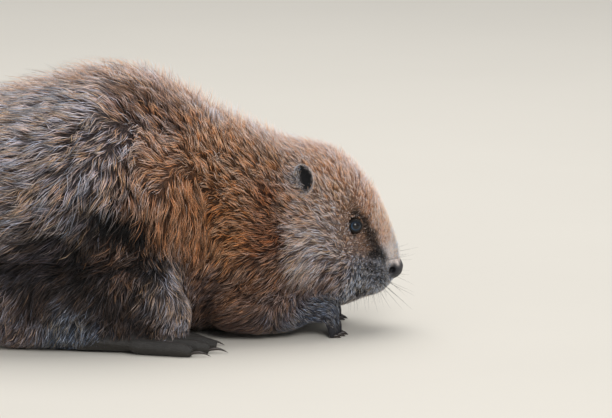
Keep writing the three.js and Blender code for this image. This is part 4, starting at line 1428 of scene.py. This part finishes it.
def skin_finish():
    material, tree, shader = finish("hide", specular_ior_level=0.35)
    cells = add(tree, "ShaderNodeTexVoronoi", {"Vector": coords(tree)}, {"Scale": 560.0}, feature="DISTANCE_TO_EDGE")
    pebbles = mapped(tree, cells.outputs["Distance"], 0.0, 1.0, (0.0, 0.22))
    pebbled = multiply(tree, attribute(tree, "hide"), mapped(tree, pebbles, 0.72, 1.06))
    mottled(tree, shader, pebbled, 180.0, 4.0, 0.6, 1.4)
    tree.links.new(mapped(tree, attribute(tree, "bare", "Fac"), 0.8, 0.5), shader.inputs["Roughness"])
    bump(tree, shader, pebbles, 0.55, 0.0007)
    return material


def eye_finish():
    material, tree, shader = finish("wet_eye", roughness=0.03, specular_ior_level=0.42)
    tree.links.new(attribute(tree, "iris"), shader.inputs["Base Color"])
    return material


def claw_finish():
    material, tree, shader = finish("horn", roughness=0.34, specular_ior_level=0.5)
    mottled(tree, shader, "#2b211c", 420.0, 3.0, 0.6, 1.5)
    bump(tree, shader, noise(tree, 900.0, 2.0), 0.25, 0.0004)
    return material


def whisker_finish():
    material, tree, shader = finish("whisker", roughness=0.45, specular_ior_level=0.4)
    mottled(tree, shader, "#211c1a", 200.0, 1.0, 0.5, 1.6)
    return material


def scale_finish():
    material, tree, shader = finish("tail_scale", roughness=0.5, specular_ior_level=0.45)
    mottled(tree, shader, "#4a4542", 90.0, 4.0, 0.7, 1.35)
    bump(tree, shader, noise(tree, 700.0, 3.0), 0.3, 0.0005)
    return material


def floor_finish():
    material, tree, shader = finish("pale_floor", roughness=0.9, specular_ior_level=0.1)
    mottled(tree, shader, "#d9d3c8", 3.0, 5.0, 0.97, 1.02)
    return material


# ------------------------------------------------------------------ settings

class SkinSettings(bpy.types.PropertyGroup):
    """Sizes of the skin."""

    grain: bpy.props.FloatProperty(
        name="Grain", description="Size of the cells that the skin is shaped from",
        default=0.0016, min=0.001, max=0.01, unit="LENGTH",
    )
    rounds: bpy.props.IntProperty(
        name="Smoothing", description="How often the facets of the solids are smoothed", default=30, min=0, max=100,
    )
    coat: bpy.props.FloatProperty(
        name="Coat depth", description="How deep the skin lies under the outline, as a share of the coat's depth",
        default=1.0, min=0.0, max=1.5,
    )
    triangles: bpy.props.IntProperty(
        name="Triangles", description="About how many triangles the skin has", default=170000, min=20000, max=198000,
    )


class CoatSettings(bpy.types.PropertyGroup):
    """Sizes of the coat."""

    length: bpy.props.FloatProperty(
        name="Length", description="Length of every tuft, as a share of its own", default=1.0, min=0.3, max=2.0,
    )
    thick: bpy.props.FloatProperty(
        name="Thickness", description="How many tufts there are, as a share", default=1.0, min=0.02, max=1.1,
    )
    wide: bpy.props.FloatProperty(
        name="Width", description="Width of every tuft, as a share of its own", default=1.0, min=0.3, max=3.0,
    )
    unruly: bpy.props.FloatProperty(
        name="Unruliness", description="How far tufts and clumps stray from the lie of the coat",
        default=1.0, min=0.0, max=3.0,
    )


class StageSettings(bpy.types.PropertyGroup):
    """Measures of the floor, the lamps and the camera."""

    view_width: bpy.props.FloatProperty(
        name="View width", description="Width of the view at the beaver",
        default=0.612, min=0.2, max=5.0, unit="LENGTH",
    )
    distance: bpy.props.FloatProperty(
        name="Distance", description="How far away the camera stands", default=8.0, min=1.0, max=30.0, unit="LENGTH",
    )
    height: bpy.props.FloatProperty(
        name="Elevation", description="How far the camera looks down", default=math.radians(10), subtype="ANGLE",
    )
    sky: bpy.props.FloatProperty(
        name="Sky", description="Strength of the light from all round", default=0.5, min=0.0, max=2.0,
    )
    lamp: bpy.props.FloatProperty(
        name="Overhead lamp", description="Power of the wide lamp overhead",
        default=52.0, min=0.0, max=500.0, unit="POWER",
    )
    front: bpy.props.FloatProperty(
        name="Front lamp", description="Power of the wide lamp in front",
        default=42.0, min=0.0, max=500.0, unit="POWER",
    )


# ------------------------------------------------------------------ operators

class BEAVER_OT_skin(bpy.types.Operator):
    """Make one skin of all the solids of flesh, with lids round the eyes"""

    bl_idname = "beaver.skin"
    bl_label = "Skin"

    def execute(self, context):
        points, triangles, kind, bare, depth, rim = with_lids(*build_skin(context.scene.beaver_skin))
        mesh = write("skin", points, triangles)
        pairs = edges_of(mesh)
        ear = spread(is_kind(kind, "ear"), pairs, 3)
        hollow = in_ear(points)
        inside = ear * ((1.16 - np.linalg.norm(hollow, axis=1)) / 0.1).clip(0, 1)
        PELT.update(points=points, triangles=triangles, kind=kind, tree=tree_of(points))
        PELT.update(coat_measures(pairs, bare, depth, rim, ear, hollow, inside))
        paint(mesh, "hide", hide_colours(pairs, rim, hollow, inside))
        measure(mesh, "bare", spread(np.maximum(bare, rim), pairs, 2))
        thing = place("skin", mesh, skin_finish())
        PELT["map"] = unwrapped(context, thing)
        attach(thing, "root")
        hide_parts(*FLESH_NODES)
        return {"FINISHED"}


class BEAVER_OT_eyes(bpy.types.Operator):
    """Make the two eyeballs"""

    bl_idname = "beaver.eyes"
    bl_label = "Eyes"

    def execute(self, context):
        material = eye_finish()
        for side in SIDES:
            thing = place(f"eyeball_{side}", eyeball(side), material)
            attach(thing, "root")
            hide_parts(f"eye_{side}")
        return {"FINISHED"}


class BEAVER_OT_claws(bpy.types.Operator):
    """Make the claws of all four feet"""

    bl_idname = "beaver.claws"
    bl_label = "Claws"

    def execute(self, context):
        material = claw_finish()
        for foot in ("fore", "hind"):
            for side in SIDES:
                nodes = [f"{foot}claw_{side}_{i + 1}" for i in range(5)]
                points, faces = joined([claw(node) for node in nodes])
                thing = place(f"claws_{foot}_{side}", write(f"claws_{foot}_{side}", points, faces), material)
                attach(thing, "root")
                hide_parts(*nodes)
        return {"FINISHED"}


class BEAVER_OT_whiskers(bpy.types.Operator):
    """Set the whiskers and bristles of the muzzle"""

    bl_idname = "beaver.whiskers"
    bl_label = "Whiskers"

    def execute(self, context):
        tree, material = whisker_tree(), whisker_finish()
        for side in SIDES:
            roots, ways, longs, thicks = whiskers(side)
            name = f"whiskers_{side}"
            mesh = dotted(name, roots, {"heading": ways}, {"long": longs, "thick": thicks}, tree, material)
            thing = place(name, mesh, material)
            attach(thing, "root")
        return {"FINISHED"}


class BEAVER_OT_scales(bpy.types.Operator):
    """Lay the scales of the tail"""

    bl_idname = "beaver.scales"
    bl_label = "Tail scales"

    def execute(self, context):
        material = scale_finish()
        roots, ups, ways, sizes = tail_points()
        mesh = dotted("tail_scales", roots, {"up": ups, "heading": ways, "size": sizes}, {}, scale_tree(), material)
        thing = place("tail_scales", mesh, material)
        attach(thing, "root")
        return {"FINISHED"}


class BEAVER_OT_coat(bpy.types.Operator):
    """Grow the coat of tufts over the skin"""

    bl_idname = "beaver.coat"
    bl_label = "Coat"

    def execute(self, context):
        if "tree" not in PELT:
            raise RuntimeError("the skin comes first")
        material = coat_finish()
        for number, (name, (kinds, parted, slot, gather)) in enumerate(COATS.items()):
            for side in SIDES if parted else [None]:
                title = f"coat_{name}_{side}" if side else f"coat_{name}"
                seed = 100 + number * 10 + (side == "left")
                mesh = build_coat(title, kinds, SIDES.get(side, 0), gather, context.scene.beaver_coat, seed)
                thing = place(title, mesh, material)
                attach(thing, "root")
        return {"FINISHED"}


FLOOR_REACH = 12.0  # how far the floor goes from its middle, in metres
LOOKED_AT = (-97, 0, 119.8)  # the middle of the view, in millimetres behind the nose, aside and up
LAMPS = {"overhead": ((0.3, 1.0, 2.5), 2.4), "front": ((0.9, -2.4, 1.6), 1.3)}  # places and widths, in metres
SENSOR = 36.0  # width of the camera's sensor, in millimetres


class BEAVER_OT_stage(bpy.types.Operator):
    """Set the floor, the lamps and the camera"""

    bl_idname = "beaver.stage"
    bl_label = "Stage"

    def execute(self, context):
        plan = context.scene.beaver_stage
        scene = context.scene
        scene.view_settings.view_transform = "Standard"
        corners = FLOOR_REACH * np.array([(-1, -1, 0), (1, -1, 0), (1, 1, 0), (-1, 1, 0)])
        floor = place("floor", write("floor", corners, np.array([(0, 1, 2, 3)])), floor_finish())

        world = bpy.data.worlds.new("studio")
        scene.world = world
        world.use_nodes = True
        back = world.node_tree.nodes["Background"]
        back.inputs["Color"].default_value = (*linear("#eef2f7"), 1)
        back.inputs["Strength"].default_value = plan.sky

        middle = Vector(at(*LOOKED_AT))
        for (name, (where, size)), power in zip(LAMPS.items(), (plan.lamp, plan.front)):
            lamp = bpy.data.lights.new(name, "AREA")
            lamp.size, lamp.energy = size, power
            thing = bpy.data.objects.new(name, lamp)
            thing.location = where
            thing.rotation_euler = (middle - Vector(where)).to_track_quat("-Z", "Y").to_euler()
            scene.collection.objects.link(thing)

        camera = bpy.data.cameras.new("camera")
        camera.sensor_width = SENSOR
        camera.lens = SENSOR * plan.distance / plan.view_width
        camera.clip_end = 100.0
        eye = bpy.data.objects.new("camera", camera)
        eye.location = middle + Vector((0, -math.cos(plan.height), math.sin(plan.height))) * plan.distance
        eye.rotation_euler = (middle - eye.location).to_track_quat("-Z", "Y").to_euler()
        scene.collection.objects.link(eye)
        scene.camera = eye
        return {"FINISHED"}


class BEAVER_PT_panel(bpy.types.Panel):
    """The beaver's pieces, in the order in which they are made"""

    bl_label = "Beaver"
    bl_idname = "BEAVER_PT_panel"
    bl_space_type = "VIEW_3D"
    bl_region_type = "UI"
    bl_category = "Beaver"

    def draw(self, context):
        for owner, kinds in GROUPS.items():
            settings = getattr(context.scene, owner)
            box = self.layout.box()
            for key in settings.__annotations__:
                box.prop(settings, key)
        for kind in OPERATORS:
            self.layout.operator(kind.bl_idname)


GROUPS = {"beaver_skin": SkinSettings, "beaver_coat": CoatSettings, "beaver_stage": StageSettings}
OPERATORS = (
    BEAVER_OT_skin, BEAVER_OT_eyes, BEAVER_OT_claws, BEAVER_OT_scales,
    BEAVER_OT_whiskers, BEAVER_OT_coat, BEAVER_OT_stage,
)
CLASSES = (*GROUPS.values(), *OPERATORS, BEAVER_PT_panel)


def register():
    for kind in CLASSES:
        bpy.utils.register_class(kind)
    for name, kind in GROUPS.items():
        setattr(bpy.types.Scene, name, bpy.props.PointerProperty(type=kind))


def unregister():
    for name in GROUPS:
        delattr(bpy.types.Scene, name)
    for kind in reversed(CLASSES):
        bpy.utils.unregister_class(kind)


def main():
    register()
    for kind in OPERATORS:
        area, name = kind.bl_idname.split(".")
        getattr(getattr(bpy.ops, area), name)()


if __name__ == "__main__":
    main()
